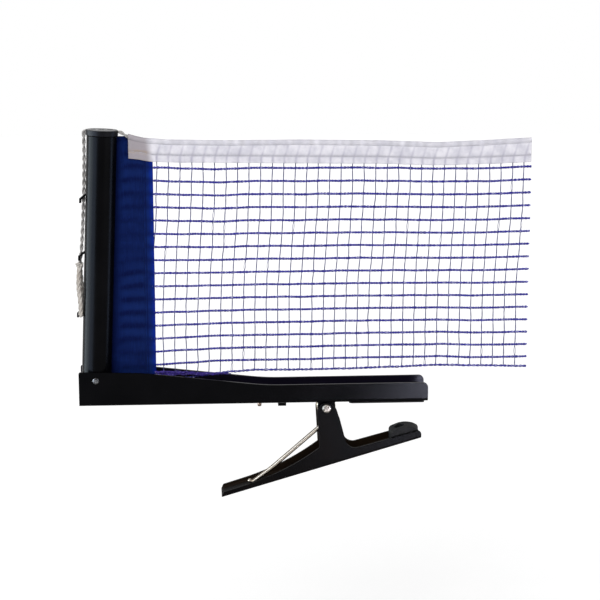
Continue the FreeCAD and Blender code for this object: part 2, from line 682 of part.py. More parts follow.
def make_lever():
    """Pressed U lever, open upward: web below, cheeks round the pivot, handle outside and jaw inside."""
    body = new_body("lever_pressing")
    nose_x = "cheek_round * (1 - sin(front_slope * 1deg)) / cos(front_slope * 1deg)"
    shoulder = f"pivot_z + cheek_top - (shoulder_front - {nose_x}) / tan(front_slope * 1deg)"
    end_top = "(handle_rake - handle_reach)"
    corners = [
        ("pivot_x - handle_reach", web_line("lever_depth", "-handle_reach"), "small_round"),
        ("pivot_x + jaw_reach", web_line("lever_depth", "jaw_reach"), "jaw_foot_round"),
        ("pivot_x + jaw_reach", web_line("lever_depth - jaw_height", "jaw_reach"), "jaw_top_round"),
        ("pivot_x + cheek_front", web_line("lever_depth - throat_height", "cheek_front"), "throat_round"),
        ("pivot_x + shoulder_front", shoulder, "shoulder_round"),
        (f"pivot_x + {nose_x}", "pivot_z + cheek_top", "cheek_round"),
        ("pivot_x - neck_back", "pivot_z + cheek_top", "neck_round"),
        ("pivot_x - neck_foot", "pivot_z - neck_height", "small_round"),
        ("pivot_x - sweep_out", "pivot_z - sweep_drop", "handle_sweep"),
        (f"pivot_x + {end_top}", web_line("lever_depth - handle_height", end_top), "small_round"),
    ]
    extrude(body, "Pad", outline(body, "lever_side", "XZ_Plane", corners), "lever_width")
    section = new_body("lever_section")
    high = "lever_depth + 2 * cheek_round"
    half = "lever_width / 2"
    corners = [
        (f"-{half}", high), (f"-{half}", "0", "bend_radius"), (half, "0", "bend_radius"), (half, high),
        ("cheek_inner", high), ("cheek_inner", "metal", "bend_radius - metal"),
        ("-cheek_inner", "metal", "bend_radius - metal"), ("-cheek_inner", high),
    ]
    extrude(section, "Pad", outline(section, "lever_u", "YZ_Plane", corners), "2 * (handle_reach + jaw_reach)")
    turn(section, Vector(0, 1, 0), "-lever_slope")
    place(section, "pivot_x", "0", "pivot_z - lever_depth")
    pressing = doc.addObject("Part::Common", "lever_shell")
    pressing.Base = body
    pressing.Tool = section
    through = f"lever_width + 2 * {PAST}"
    pivot_hole = cylinder("pivot_hole", "pivot_rivet / 2 + rivet_fit", through)
    along_y(pivot_hole, "pivot_x", "pivot_z", through)
    web_hole = on_web(cylinder("web_hole", "small_rivet / 2 + rivet_fit", "3 * metal"), "-metal")
    keep("lever", cut("lever", pressing, pivot_hole, web_hole))


def on_web(feature, up):
    """Stand a feature made along Z on the web's underside at the jaw rivet, square to the web."""
    turn(feature, Vector(0, 1, 0), "-lever_slope")
    place(
        feature,
        f"pivot_x + jaw_rivet_at - ({up}) * sin(lever_slope * 1deg)", "0",
        f"{web_line('lever_depth', 'jaw_rivet_at')} + ({up}) * cos(lever_slope * 1deg)",
    )
    return feature


def make_jaw_pad():
    """Crowned rubber pad between the jaw's cheeks, whose crown meets the table top's underside."""
    body = new_body("jaw_pad_moulding")
    under = "web_drop - sewn_gap"
    corners = [
        ("pivot_x + jaw_pad_start", web_line(under, "jaw_pad_start")),
        ("pivot_x + jaw_pad_end", web_line(under, "jaw_pad_end")),
        ("pivot_x + jaw_pad_end", "pivot_z + crown_z - jaw_pad_drop / 2", "jaw_pad_end_round"),
        ("pivot_x + jaw_pad_start + jaw_crown_at", "pivot_z + crown_z + jaw_crown_corner", "jaw_crown_round"),
        ("pivot_x + jaw_pad_start", "pivot_z + crown_z - jaw_pad_drop", "jaw_pad_start_round"),
    ]
    depth = "2 * (cheek_inner - jaw_pad_fit)"
    extrude(body, "Pad", outline(body, "jaw_pad_side", "XZ_Plane", corners), depth)
    hole = on_web(cylinder("pad_hole", "small_rivet / 2 + rivet_fit", "table_thickness"), "0")
    sink = cylinder("pad_sink", "jaw_rivet_head / 2 + sink_gap", "table_thickness")
    on_web(sink, "metal + jaw_pad_floor")
    keep("jaw_pad", cut("jaw_pad", body, hole, sink))


def make_jaw_rivet():
    """Rivet through the web and the pad, its upper head sunk in the pad."""
    grip = "metal + jaw_pad_floor + 2 * sewn_gap"
    rivet = rivet_body("jaw_rivet", "small_rivet", grip, "jaw_rivet_head", "small_dome")
    on_web(rivet, "(metal + jaw_pad_floor) / 2")
    keep("jaw_pad_rivet", rivet)


# Spring


def make_spring():
    """One unbroken wire: end hook, upper leg, coil, lower leg and its upturned end."""
    wire = size("wire")
    radius = size("coil_radius")
    centre = Vector(size("pivot_x"), 0, size("pivot_z"))
    half = size("coil_half")
    dip = radians(size("leg_dip"))
    start_angle = pi / 2 + dip
    sweep = 2 * pi * size("coil_turns")
    bend = size("leg_end_bend")

    def on_coil(share):
        angle = start_angle - sweep * share
        return centre + Vector(radius * cos(angle), half * (1 - 2 * share), radius * sin(angle))

    def heading(share):
        angle = start_angle - sweep * share
        climb = -2 * half / (radius * sweep)
        return Vector(sin(angle), climb if 0 < share < 1 else 0, -cos(angle)).normalize()

    coil_start = on_coil(0)
    leg_z = size("leg_z")
    above_leg = coil_start.z - leg_z
    upper = [
        Vector(centre.x - size("leg_out"), half, leg_z - size("leg_hook")),
        Vector(centre.x - size("leg_out"), half, leg_z),
        Vector(coil_start.x - above_leg / tan(dip), half, leg_z),
        coil_start,
    ]
    edges = rounded_path(upper, [bend, size("leg_bend")])
    quarter = 0.25 / size("coil_turns")
    here = 0.0
    while here < 1:
        there = 1.0 if here + 1.5 * quarter > 1 else here + quarter
        edges += biarc(on_coil(here), heading(here), on_coil(there), heading(there))
        here = there
    coil_end = on_coil(1)
    knee = coil_end + heading(1) * size("knee_run")
    end = centre + Vector(-size("lower_leg_out"), -half, -size("leg_end_drop"))
    fall = atan2(knee.z - end.z, knee.x - end.x) + radians(size("lower_leg_steeper"))
    flat = knee + Vector(-cos(fall), 0, -sin(fall)) * size("lower_leg_straight")
    turned = radians(size("lower_hook_angle"))
    hook = end + Vector(cos(turned), 0, sin(turned)) * size("lower_hook")
    edges += rounded_path([coil_end, knee, flat, end, hook], [size("knee_bend"), size("lower_leg_bow"), bend])
    solid, length = tube(edges, wire / 2)
    half_turn = pi * radius
    gap = least_self_gap(edges, wire, half_turn)
    print(f"torsion_spring: {length:.1f} mm of wire, least gap to itself {gap:.2f} mm")
    keep("torsion_spring", raw_piece("torsion_spring", solid))


# Post


def in_post_frame(feature):
    """Stand a piece made along Z on the post rivet and lean it with the post."""
    turn(feature, Vector(0, 1, 0), "post_lean")
    place(feature, "post_x", "0", "post_z")
    return feature


def post_placement():
    return Placement(Vector(size("post_x"), 0, size("post_z")), Rotation(Vector(0, 1, 0), size("post_lean")))


def make_post():
    """Round tube with a slot for the sleeve and a row of tabs lanced out as cord hooks."""
    body = new_body("post_tube")
    ring = circles(body, "tube_ring", "XY_Plane", ("0", "0"), ["post_radius", "bore_radius"], "-foot_drop")
    extrude(body, "Pad", ring, "foot_drop + post_height", symmetric=False)
    round_edges(
        body, "tube_rim", "tube_rim",
        lambda point: near(point.z, "post_height") and near(hypot(point.x, point.y), "post_radius"), 1,
    )
    slot = box_corners("0", "2 * post_radius", f"-foot_drop - {PAST}", f"post_height + {PAST}")
    extrude(body, "Pocket", outline(body, "sleeve_slot", "XZ_Plane", slot), "slot_width")
    hole = circles(body, "tube_rivet_hole", "XZ_Plane", ("0", "0"), ["small_rivet / 2 + rivet_fit"])
    extrude(body, "Pocket", hole, "2 * post_diameter")
    for i in range(round(size("hook_count"))):
        add_hook(body, i)
    keep("post_tube", in_post_frame(body))


def add_hook(body, number):
    """A tab lanced out of the tube's outer side, attached at its top and open downward."""
    mouth = f"hook_lowest + {number} * hook_pitch"
    root = f"{mouth} + hook_height"
    window = box_corners("-2 * post_radius", "-bore_radius + post_wall", mouth, f"{root} - hook_metal")
    slit = outline(body, f"hook_window_{number}", "XZ_Plane", window)
    extrude(body, "Pocket", slit, "hook_width + 2 * hook_slit")
    in_wall = "-bore_radius - post_wall / 5"
    outer = "-post_radius - hook_reach"
    corners = [
        (outer, mouth), (f"{outer} + hook_metal", mouth), (f"{outer} + hook_metal", f"{mouth} + hook_bend"),
        ("-post_radius + post_wall / 4", f"{root} - hook_metal"), (in_wall, f"{root} - hook_metal"),
        (in_wall, root), ("-post_radius", root), (outer, f"{mouth} + hook_bend + hook_metal / 2"),
    ]
    extrude(body, "Pad", outline(body, f"hook_{number}", "XZ_Plane", corners), "hook_width")


def make_cap():
    """Plastic plug with a flange and a groove across it for the cord."""
    body = new_body("post_cap")
    flange = circles(body, "cap_flange", "XY_Plane", ("0", "0"), ["cap_radius"], "post_height")
    extrude(body, "Pad", flange, "cap_height", symmetric=False)
    round_edges(
        body, "cap_rims", "cap_rim",
        lambda point: near(hypot(point.x, point.y), "cap_radius")
        and (near(point.z, "post_height") or near(point.z, "post_height + cap_height")), 2,
    )
    plug = circles(body, "cap_plug", "XY_Plane", ("0", "0"), ["plug_radius"], "post_height - cap_plug")
    extrude(body, "Pad", plug, "cap_plug + cap_height / 4", symmetric=False)
    high = "post_height + 2 * cap_height"
    floor = "post_height + cap_height - groove_depth"
    foot = f"{floor} - cap_radius + groove_lip"
    lip = "cap_radius - groove_lip"
    round_lip = "cord_bend - cord_diameter / 2"
    corners = [
        ("-cap_diameter", high), ("-cap_diameter", foot), (f"-({lip})", floor, round_lip),
        (lip, floor, round_lip), ("cap_diameter", foot), ("cap_diameter", high),
    ]
    groove = outline(body, "cord_groove", "XZ_Plane", corners, "-groove_offset")
    extrude(body, "Pocket", groove, "groove_width")
    keep("post_cap", in_post_frame(body))


def make_insert():
    """Plastic plug in the tube's foot that keeps the rivet from crushing it."""
    plug = cylinder("insert_plug", "plug_radius", "foot_drop + insert_top")
    place(plug, "0", "0", "-foot_drop")
    hole = along_y(cylinder("insert_hole", "small_rivet / 2 + rivet_fit", "post_diameter"),
                   "0", "0", "post_diameter")
    keep("post_insert", in_post_frame(cut("post_insert", plug, hole)))


# Net


def hem_place():
    """Places of the sleeve's hem inside the tube, in the post's frame: X of its middle, low and high end."""
    hem_radius = size("rod_diameter / 2 + rod_gap + sleeve_cloth")
    middle = size("bore_radius - hem_gap") - hem_radius
    low = size("insert_top + hem_gap")
    high = size("post_height - cap_plug - hem_gap")
    return hem_radius, middle, low, high


def make_rod():
    """Plastic rod in the sleeve's hem, which holds the sleeve in the slotted tube."""
    radius, middle, low, high = hem_place()
    rod = Part.makeCylinder(size("rod_diameter / 2"), high - low, Vector(middle, 0, low))
    feature = raw_piece("sleeve_rod", rod)
    feature.Placement = post_placement()
    keep("sleeve_rod", feature)


def flat_cloth(points, thickness):
    """A sheet parallel to the net: points give X and Z of its outline."""
    places = [Vector(across, -thickness / 2, up) for across, up in points]
    face = Part.Face(Part.makePolygon(places + places[:1]))
    return face.extrude(Vector(0, thickness, 0))


def make_sleeve():
    """Fabric sewn round the rod, out through the tube's slot and on to the binding, as two plies."""
    hem_radius, middle, low, high = hem_place()
    plies = 2 * size("sleeve_cloth")
    hem = Part.makeCylinder(hem_radius, high - low, Vector(middle, 0, low))
    neck_end = size("post_radius + hem_gap")
    neck = Part.makeBox(neck_end + PAST - middle, plies, high - low, Vector(middle, -plies / 2, low))
    bore = Part.makeCylinder(size("rod_diameter / 2 + rod_gap"), high - low, Vector(middle, 0, low))
    leaning = hem.fuse(neck).cut(bore)
    leaning.Placement = post_placement()
    foot, head = (
        post_placement().multVec(Vector(neck_end, 0, size(up)))
        for up in ("sleeve_low - post_z", "post_height - sleeve_short")
    )
    edge = size("side_line - sleeve_end_out")
    tape_end = size("side_line - tape_out")
    clear_of_tape = tape_end - 2 * size("tape_ply")
    under_cord = [point.x for point in cord_over_net() if tape_end < point.x < edge]
    top = [(across, tape_inside(across) - size("fold_gap")) for across in (edge, *under_cord, tape_end)]
    top += [(clear_of_tape, head.z - size("sleeve_dip")), (head.x, head.z)]
    flat = flat_cloth([(foot.x, foot.z), (edge, foot.z), *top], plies)
    keep("net_sleeve", raw_piece("net_sleeve", leaning.fuse(flat).removeSplitter()))


def make_binding():
    """Folded band over the edge where the sleeve and the netting meet, with a slot for each."""
    body = new_body("sleeve_binding")
    left = "side_line - binding_out"
    right = f"{left} + binding_width"
    low = "sleeve_low + binding_short"
    top_left, top_right = (f"post_top - {edge_drop(TAPE_EDGE, size(x)):.3f} - band_gap" for x in (left, right))
    corners = [(left, low), (right, low), (right, top_right), (left, top_left)]
    thick = "2 * (sleeve_cloth + sewn_gap + binding_ply)"
    extrude(body, "Pad", outline(body, "binding", "XZ_Plane", corners), thick)
    below = f"{low} - {PAST}"
    sleeve_slot = box_corners(f"{left} - {PAST}", "side_line - sleeve_end_out + sewn_gap", below, "post_top")
    extrude(body, "Pocket", outline(body, "for_sleeve", "XZ_Plane", sleeve_slot), "2 * (sleeve_cloth + sewn_gap)")
    net_slot = box_corners(f"{right} - net_entry - sewn_gap", f"{right} + {PAST}", below, "post_top")
    extrude(body, "Pocket", outline(body, "for_net", "XZ_Plane", net_slot), "twine + 2 * sewn_gap")
    keep("sleeve_binding", body)


# How far the cord lies below the post's top along the net, from the net's end to just outside the tape.
# X is measured from the side line, and the tape hangs from the cord.
CORD_OVER_NET = [
    (111.6, 7.7), (83.0, 9.2), (56.0, 10.2), (22.0, 8.9), (-24.0, 8.2), (-70.0, 8.3),
    (-101.0, 7.7), (-115.0, 6.6), (-119.5, 5.6), (-124.6, 4.0),
]
# How far the tape's lower edge lies below the post's top, the same way
TAPE_EDGE = [
    (-124.0, 16.6), (-109.7, 18.7), (-92.0, 19.3), (-24.0, 20.2), (22.0, 20.7), (56.0, 21.9),
    (90.0, 21.2), (112.0, 20.3),
]
# The netting's lower edge over the table's top, which dips into the channel beside the post
NET_EDGE = [
    (-113.0, 10.8), (-92.0, 15.2), (-75.0, 18.7), (-60.0, 19.1), (0.0, 19.5), (60.0, 20.8), (113.0, 19.0),
]


def edge_drop(line, across):
    """Second number of a line of points at a place along the net."""
    from_side_line = across - size("side_line")
    ordered = sorted(line)
    for (left, low), (right, high) in zip(ordered, ordered[1:]):
        if from_side_line <= right:
            break
    return low + (high - low) * (from_side_line - left) / (right - left)


def cord_height(across):
    return size("post_top") - edge_drop(CORD_OVER_NET, across)


def tape_bottom(across):
    return size("post_top") - edge_drop(TAPE_EDGE, across)


def tape_inside(across):
    """Height up to which the tape's two plies are open below the cord's tunnel."""
    return cord_height(across) - size("cord_diameter / 2 + tunnel_gap + tunnel_wall + fold_gap")


def make_tape():
    """Tape folded over the netting's top edge, with a tunnel for the cord along the fold."""
    side = size("side_line")
    bore = size("cord_diameter / 2 + tunnel_gap")
    points = cord_over_net()
    radii = widest_bends(points)
    outer_end = side - size("tape_out")
    points[-1] = Vector(outer_end, 0, cord_height(outer_end))
    tunnel = tube(rounded_path(points, radii), bore + size("tunnel_wall"))[0]
    first, last = points[0], points[-1]
    through = [first + (first - points[1]).normalize(), *points[1:-1], last + (last - points[-2]).normalize()]
    hollow = tube(rounded_path(through, radii), bore)[0]
    inner = [(side + across, tape_bottom(side + across)) for across, drop in TAPE_EDGE[1:-1]]
    ends = [(across, tape_bottom(across)) for across in (outer_end, first.x)]
    band = [(point.x, point.z) for point in points] + ends[:1] + inner + ends[1:]
    places = [first.x + PAST, *(point.x for point in points[1:-1]), outer_end - PAST]
    room = [(across, tape_inside(across)) for across in places]
    room += [(across, tape_bottom(across) - size("tape_ply")) for across in reversed(places)]
    inside = flat_cloth(room, 2 * size("sleeve_cloth + sewn_gap"))
    thick = 2 * size("sleeve_cloth + sewn_gap + tape_ply")
    tape = flat_cloth(band, thick).fuse(tunnel).cut(hollow).cut(inside)
    keep("net_tape", raw_piece("net_tape", tape))


def cord_over_net():
    side = size("side_line")
    return [Vector(side + across, 0, cord_height(side + across)) for across, drop in CORD_OVER_NET]


def make_net():
    """The netting as one holed face, from its lower edge up into the tape and left into the binding."""
    side = size("side_line")
    strand = size("strand")
    columns = round(size("net_columns"))
    rows = round(size("net_rows"))
    left = size("side_line - binding_out + binding_width - net_entry")
    right = side + size("net_end")

    def spot(column, row):
        across = left + (right - left) * column / columns
        low = edge_drop(NET_EDGE, across)
        high = tape_bottom(across) + size("net_tuck")
        return Vector(across, -size("twine") / 2, low + (high - low) * row / rows)

    rim = [spot(column, 0) for column in range(columns + 1)]
    rim += [spot(column, rows) for column in range(columns, -1, -1)]
    grow = strand / 2
    wires = [Part.makePolygon(rim + rim[:1])]
    for column in range(columns):
        for row in range(rows):
            first = 2 if column == 0 else 1
            last = 2 if column == columns - 1 else 1
            under = 2 if row == 0 else 1
            over = 2 if row == rows - 1 else 1
            gap = [
                spot(column, row) + Vector(grow * first, 0, grow * under),
                spot(column + 1, row) + Vector(-grow * last, 0, grow * under),
                spot(column + 1, row + 1) + Vector(-grow * last, 0, -grow * over),
                spot(column, row + 1) + Vector(grow * first, 0, -grow * over),
            ]
            wires.append(Part.makePolygon(gap + gap[:1]))
    face = Part.makeFace(wires, "Part::FaceMakerBullseye")
    netting = face.extrude(Vector(0, size("twine"), 0))
    print(f"net_mesh: {columns * rows} gaps, {len(netting.Faces)} faces")
    keep("net_mesh", raw_piece("net_mesh", netting))


def make_bottom_line():
    """Cord that the netting's lowest meshes are tied to, in front of them."""
    side = size("side_line")
    radius = size("line_diameter / 2")
    front = -(size("twine") / 2 + radius + size("sewn_gap"))
    start = size("side_line - binding_out + binding_width + line_gap")
    places = [start] + [side + across for across, up in NET_EDGE[1:-1]] + [side + size("net_end")]
    points = [Vector(across, front, edge_drop(NET_EDGE, across) + radius) for across in places]
    line = tube(rounded_path(points, widest_bends(points)), radius)[0]
    keep("net_bottom_line", raw_piece("net_bottom_line", line))


# Cord


def cord_points():
    """The main run, from the net's end to the knot, and the loop from the knot round the lowest hook."""
    lean = post_placement()
    radius = size("cord_diameter / 2")
    gap = size("cord_gap")
    groove = size("groove_offset")
    ride = size("post_height + cap_height - groove_depth") + radius + gap
    beside = size("cap_radius") + radius + gap
    clear = size("hook_width") / 2 + radius + gap
    hook = size("hook_lowest")
    knot = Vector(-beside - 2.0, clear - 0.9, hook + 30.2)
    main = cord_over_net() + [
        lean.multVec(local) for local in [
            Vector(beside + 0.4, groove * 0.8, ride - 0.1),
            Vector(-beside, groove, ride + 0.1),
            Vector(-beside, clear, ride - 20),
            Vector(-beside - 0.3, clear + 0.2, hook + 60),
            Vector(-beside - 1.2, clear + 0.5, hook + 35.5),
            knot + Vector(0.1, 0.1, 1.0),
        ]
    ]
    between = size("post_radius") + radius + gap
    under = hook + 0.3 * size("hook_height")
    apart = radius + gap
    loop = [
        lean.multVec(local) for local in [
            knot + Vector(0, apart, -0.5),
            Vector(-beside - 0.5, clear, hook + 20),
            Vector(-between - 0.3, clear, hook + 9),
            Vector(-between, clear, under - radius),
            Vector(-between, -clear, under - radius),
            Vector(-between - 0.3, -clear, hook + 9),
            Vector(-beside - 2.3, -clear * 0.9, hook + 20),
            knot + Vector(0, -apart, -0.5),
        ]
    ]
    return main, loop, lean.multVec(knot)


def make_cord():
    """Cord through the tape, over the cap and down beside the hooks, knotted to the loop on the lowest."""
    main, loop, middle = cord_points()
    radius = size("cord_diameter / 2")
    main_radii = widest_bends(main)
    over_net = len(CORD_OVER_NET)
    main_radii[over_net] = size("cord_bend")
    loop_radii = widest_bends(loop)
    round_hook = size("hook_width") / 2 + radius
    loop_radii[2] = round_hook
    loop_radii[3] = round_hook
    main_solid, main_length = tube(rounded_path(main, main_radii), radius)
    loop_solid, loop_length = tube(rounded_path(loop, loop_radii), radius)
    print("tension_cord: bends of", ", ".join(f"{r:.1f}" for r in main_radii + loop_radii), "mm")
    print(f"tension_cord: {main_length:.1f} mm and a loop of {loop_length:.1f} mm")
    knot = Part.makeSphere(size("knot_diameter") / 2, middle)
    cord = main_solid.fuse([loop_solid, knot])
    keep("tension_cord", raw_piece("tension_cord", cord))


# Check and export


def faults(name, shape):
    """What is wrong with a piece's shape, if anything."""
    if shape.isNull():
        return [f"{name} has no shape"]
    found = [] if shape.isValid() else [f"{name} is not valid"]
    if len(shape.Solids) != 1:
        found.append(f"{name} has {len(shape.Solids)} solids")
    return found


def main():
    fill_sheet()
    make_arm()
    make_arm_pad()
    make_bracket()
    make_lever()
    make_jaw_pad()
    make_jaw_rivet()
    make_rivets()
    make_spacer()
    make_spring()
    make_post()
    make_insert()
    make_cap()
    make_rod()
    make_sleeve()
    make_binding()
    make_tape()
    make_net()
    make_bottom_line()
    make_cord()
    doc.recompute()
    wrong = [f"{o.Name} is {o.State}" for o in doc.Objects if "Invalid" in o.State or "Error" in o.State]
    for name, feature in PIECES.items():
        wrong += faults(name, feature.Shape)
    if wrong:
        raise SystemExit("; ".join(wrong))
    os.makedirs("parts", exist_ok=True)
    for name, feature in PIECES.items():
        feature.Shape.exportStep(f"parts/{name}.step")
        bounds = feature.Shape.BoundBox
        print(f"{name}: X {bounds.XMin:.2f} {bounds.XMax:.2f}  Y {bounds.YMin:.2f} {bounds.YMax:.2f}  "
              f"Z {bounds.ZMin:.2f} {bounds.ZMax:.2f}  volume {feature.Shape.Volume:.1f}")


main()
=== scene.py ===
import json
from math import atan2, cos, exp, pi, radians, sin, tan

import bpy
from mathutils import Matrix, Vector, noise


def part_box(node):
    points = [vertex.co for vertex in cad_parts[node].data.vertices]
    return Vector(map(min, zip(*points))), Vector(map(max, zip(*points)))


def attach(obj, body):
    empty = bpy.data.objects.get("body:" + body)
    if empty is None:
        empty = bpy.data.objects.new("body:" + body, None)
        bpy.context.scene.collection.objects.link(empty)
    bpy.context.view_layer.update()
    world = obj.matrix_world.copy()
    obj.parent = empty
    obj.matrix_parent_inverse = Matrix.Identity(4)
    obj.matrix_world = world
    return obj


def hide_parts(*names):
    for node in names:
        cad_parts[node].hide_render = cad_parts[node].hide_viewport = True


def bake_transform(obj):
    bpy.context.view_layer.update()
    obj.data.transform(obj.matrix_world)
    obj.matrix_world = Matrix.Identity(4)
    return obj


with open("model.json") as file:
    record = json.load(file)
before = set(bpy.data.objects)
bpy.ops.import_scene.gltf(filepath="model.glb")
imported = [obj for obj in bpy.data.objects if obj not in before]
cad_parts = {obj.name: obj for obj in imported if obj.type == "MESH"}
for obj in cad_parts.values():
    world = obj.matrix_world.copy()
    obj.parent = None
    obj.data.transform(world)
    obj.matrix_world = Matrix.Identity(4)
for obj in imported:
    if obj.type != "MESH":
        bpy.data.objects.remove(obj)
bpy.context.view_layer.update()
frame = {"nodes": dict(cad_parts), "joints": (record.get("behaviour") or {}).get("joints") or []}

# Shapes are worked out in millimetres in the model's frame and scaled to metres as each mesh is made.
MM = 0.001
PAD_FROM_SIDE_LINE = 4.5
POST_LEAN = radians(2.5)
CROWN_ABOVE_RIVET = 146.4


def box_of(name):
    """Lowest and highest corner of a node, in millimetres."""
    low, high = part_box(name)
    return low / MM, high / MM


def middle_of(name):
    low, high = box_of(name)
    return (low + high) / 2


SIDE_LINE = box_of("arm_pad")[0].x - PAD_FROM_SIDE_LINE
NET_END = box_of("net_mesh")[1].x
POST = Matrix.Translation(middle_of("post_rivet")) @ Matrix.Rotation(POST_LEAN, 4, "Y")
CAP_CROWN = POST @ Vector((0, 0, CROWN_ABOVE_RIVET))
CAP_TOP = CAP_CROWN.z
PIVOT = Vector(frame["joints"][0]["pos_m"]) / MM


# Camera, light and stage


def add_camera():
    lens = bpy.data.cameras.new("camera")
    lens.lens = 97.0
    lens.sensor_width = 36.0
    lens.clip_start = 0.05
    lens.clip_end = 20
    camera = bpy.data.objects.new("camera", lens)
    camera.location = (-0.112, -0.938, 0.24215)
    camera.rotation_euler = (radians(79.1), 0, radians(-3.7))
    bpy.context.scene.collection.objects.link(camera)
    bpy.context.scene.camera = camera


def add_lamp(name, place, aim, size, watts, colour=(1, 1, 1), only_shine=False, spread=180):
    """An area lamp. One that only shines shows in glossy surfaces and lights nothing else."""
    light = bpy.data.lights.new(name, "AREA")
    light.shape = "RECTANGLE"
    light.size, light.size_y = size
    light.energy = watts
    light.color = colour
    light.spread = radians(spread)
    lamp = bpy.data.objects.new(name, light)
    lamp.location = place
    lamp.rotation_euler = (Vector(aim) - Vector(place)).to_track_quat("-Z", "Y").to_euler()
    lamp.visible_diffuse = not only_shine
    bpy.context.scene.collection.objects.link(lamp)


def add_lamps():
    clamp = (-0.04, 0, 0.06)
    post = (-0.17, 0, 0.08)
    arm = (0.03, 0, 0.006)
    add_lamp("key", (-0.55, -0.95, 1.05), clamp, (0.9, 0.9), 12.2)
    add_lamp("fill", (0.75, -0.9, 0.35), clamp, (0.8, 0.8), 3.5)
    add_lamp("left_card", (-0.64, -0.016, 0.12), post, (0.4, 0.5), 10.5, (0.8, 0.92, 1.0), only_shine=True)
    add_lamp("dim_card", (-0.52, -0.3, 0.1), post, (0.28, 0.5), 5.0, (0.62, 0.76, 1.0), only_shine=True)
    add_lamp("right_card", (0.36, -0.03, 0.1), post, (0.12, 0.5), 1.8, (0.5, 0.65, 1.0), only_shine=True)
    add_lamp("low_card", (0.125, -0.3, -0.07), arm, (0.1, 0.05), 0.19, (0.86, 0.84, 1.0), only_shine=True,
             spread=42)


def seen_directly(look):
    """A socket that is 1 for camera, glossy and transmission rays and 0 for the rest."""
    rays = add_node(look, "LightPath")
    glossy = combined(look, "MAXIMUM", rays.outputs["Is Camera Ray"], rays.outputs["Is Glossy Ray"])
    return combined(look, "MAXIMUM", glossy, rays.outputs["Is Transmission Ray"])


def choose_shader(look, unseen, seen, output):
    """Show one shader where the surface is seen and light the rest with another."""
    choice = add_node(look, "MixShader", {"Fac": seen_directly(look), 1: unseen, 2: seen})
    look.node_tree.links.new(choice.outputs[0], look.node_tree.nodes[output].inputs["Surface"])


def add_world():
    """White where it is seen, and softer as a light."""
    world = bpy.data.worlds.new("world")
    world.use_nodes = True
    light = world.node_tree.nodes["Background"]
    light.inputs["Color"].default_value = (1, 1, 1, 1)
    light.inputs["Strength"].default_value = 0.5
    backdrop = add_node(world, "Background", {"Color": (1, 1, 1, 1), "Strength": 1})
    choose_shader(world, light.outputs[0], backdrop.outputs[0], "World Output")
    bpy.context.scene.world = world


def add_floor():
    """Pale floor well below the clamp, lifted towards white where it is seen.

    The lift is weaker near the clamp, so that its shadow shows.
    """
    half = 4.0
    height = -0.20
    corners = [(-half, -half, height), (half, -half, height), (half, half, height), (-half, half, height)]
    mesh = bpy.data.meshes.new("floor")
    mesh.from_pydata(corners, [], [(0, 1, 2, 3)])
    grey = (0.8, 0.8, 0.8, 1)
    look = new_look("floor_paint", {"Base Color": grey, "Roughness": 0.9, "Specular IOR Level": 0.0})
    spot = add_node(look, "TexCoord").outputs["Object"]
    distance = add_node(look, "VectorMath", {0: spot}, operation="LENGTH").outputs["Value"]
    near, far = 0.3, 1.6
    lift = add_node(look, "Emission", {"Strength": ranged(look, distance, near, far, 0.42, 0.68)})
    paint = look.node_tree.nodes["Principled BSDF"].outputs[0]
    lifted = add_node(look, "AddShader", {0: paint, 1: lift.outputs[0]})
    choose_shader(look, paint, lifted.outputs[0], "Material Output")
    mesh.materials.append(look)
    floor = bpy.data.objects.new("floor", mesh)
    bpy.context.scene.collection.objects.link(floor)


# Materials


def new_look(name, values):
    """A node-based material whose shader sockets are set from a dictionary."""
    look = bpy.data.materials.new(name)
    look.use_nodes = True
    shader = look.node_tree.nodes["Principled BSDF"]
    for socket, value in values.items():
        shader.inputs[socket].default_value = value
    return look


def add_node(look, kind, inputs=None, **settings):
    """A node of a material or the world with its sockets set to values or linked to other sockets."""
    made = look.node_tree.nodes.new("ShaderNode" + kind)
    for key, value in settings.items():
        setattr(made, key, value)
    for socket, value in (inputs or {}).items():
        if isinstance(value, bpy.types.NodeSocket):
            look.node_tree.links.new(value, made.inputs[socket])
        else:
            made.inputs[socket].default_value = value
    return made


def finished(look, colour, bump, rough=None):
    """The look with its colour, bump and roughness linked to its shader."""
    shader = look.node_tree.nodes["Principled BSDF"]
    for target, socket in (("Base Color", colour), ("Normal", bump), ("Roughness", rough)):
        if socket is not None:
            look.node_tree.links.new(socket, shader.inputs[target])
    return look


def attribute(look, name):
    """The numbers of one name that a piece's points carry."""
    return add_node(look, "Attribute", attribute_name=name).outputs["Fac"]


def mixed(look, share, first, second):
    """Colour between two colours by a share."""
    made = add_node(look, "Mix", {0: share, 6: first, 7: second}, data_type="RGBA")
    return made.outputs[2]


def layered(look, body, *layers):
    """A colour with others laid over it in turn, each by its share."""
    for share, colour in layers:
        body = mixed(look, share, body, colour)
    return body


def ranged(look, value, low, high, first=0.0, last=1.0):
    """Value mapped from low..high to first..last."""
    inputs = {"Value": value, "From Min": low, "From Max": high, "To Min": first, "To Max": last}
    return add_node(look, "MapRange", inputs).outputs[0]


def combined(look, kind, first, second):
    return add_node(look, "Math", {0: first, 1: second}, operation=kind).outputs[0]


def times(look, value, factor):
    return combined(look, "MULTIPLY", value, factor)


def place_of(look, scale=(1, 1, 1), turned=(0, 0, 0)):
    """The surface's own coordinates in millimetres, stretched by a scale."""
    coordinates = add_node(look, "TexCoord")
    inputs = {"Vector": coordinates.outputs["Object"], "Scale": [s / MM for s in scale], "Rotation": turned}
    return add_node(look, "Mapping", inputs).outputs[0]


def grain(look, scale, detail=2.0, place=None, rough=0.5):
    """Noise with so many lumps to the millimetre."""
    inputs = {"Vector": place or place_of(look), "Scale": scale, "Detail": detail, "Roughness": rough}
    return add_node(look, "TexNoise", inputs).outputs["Fac"]


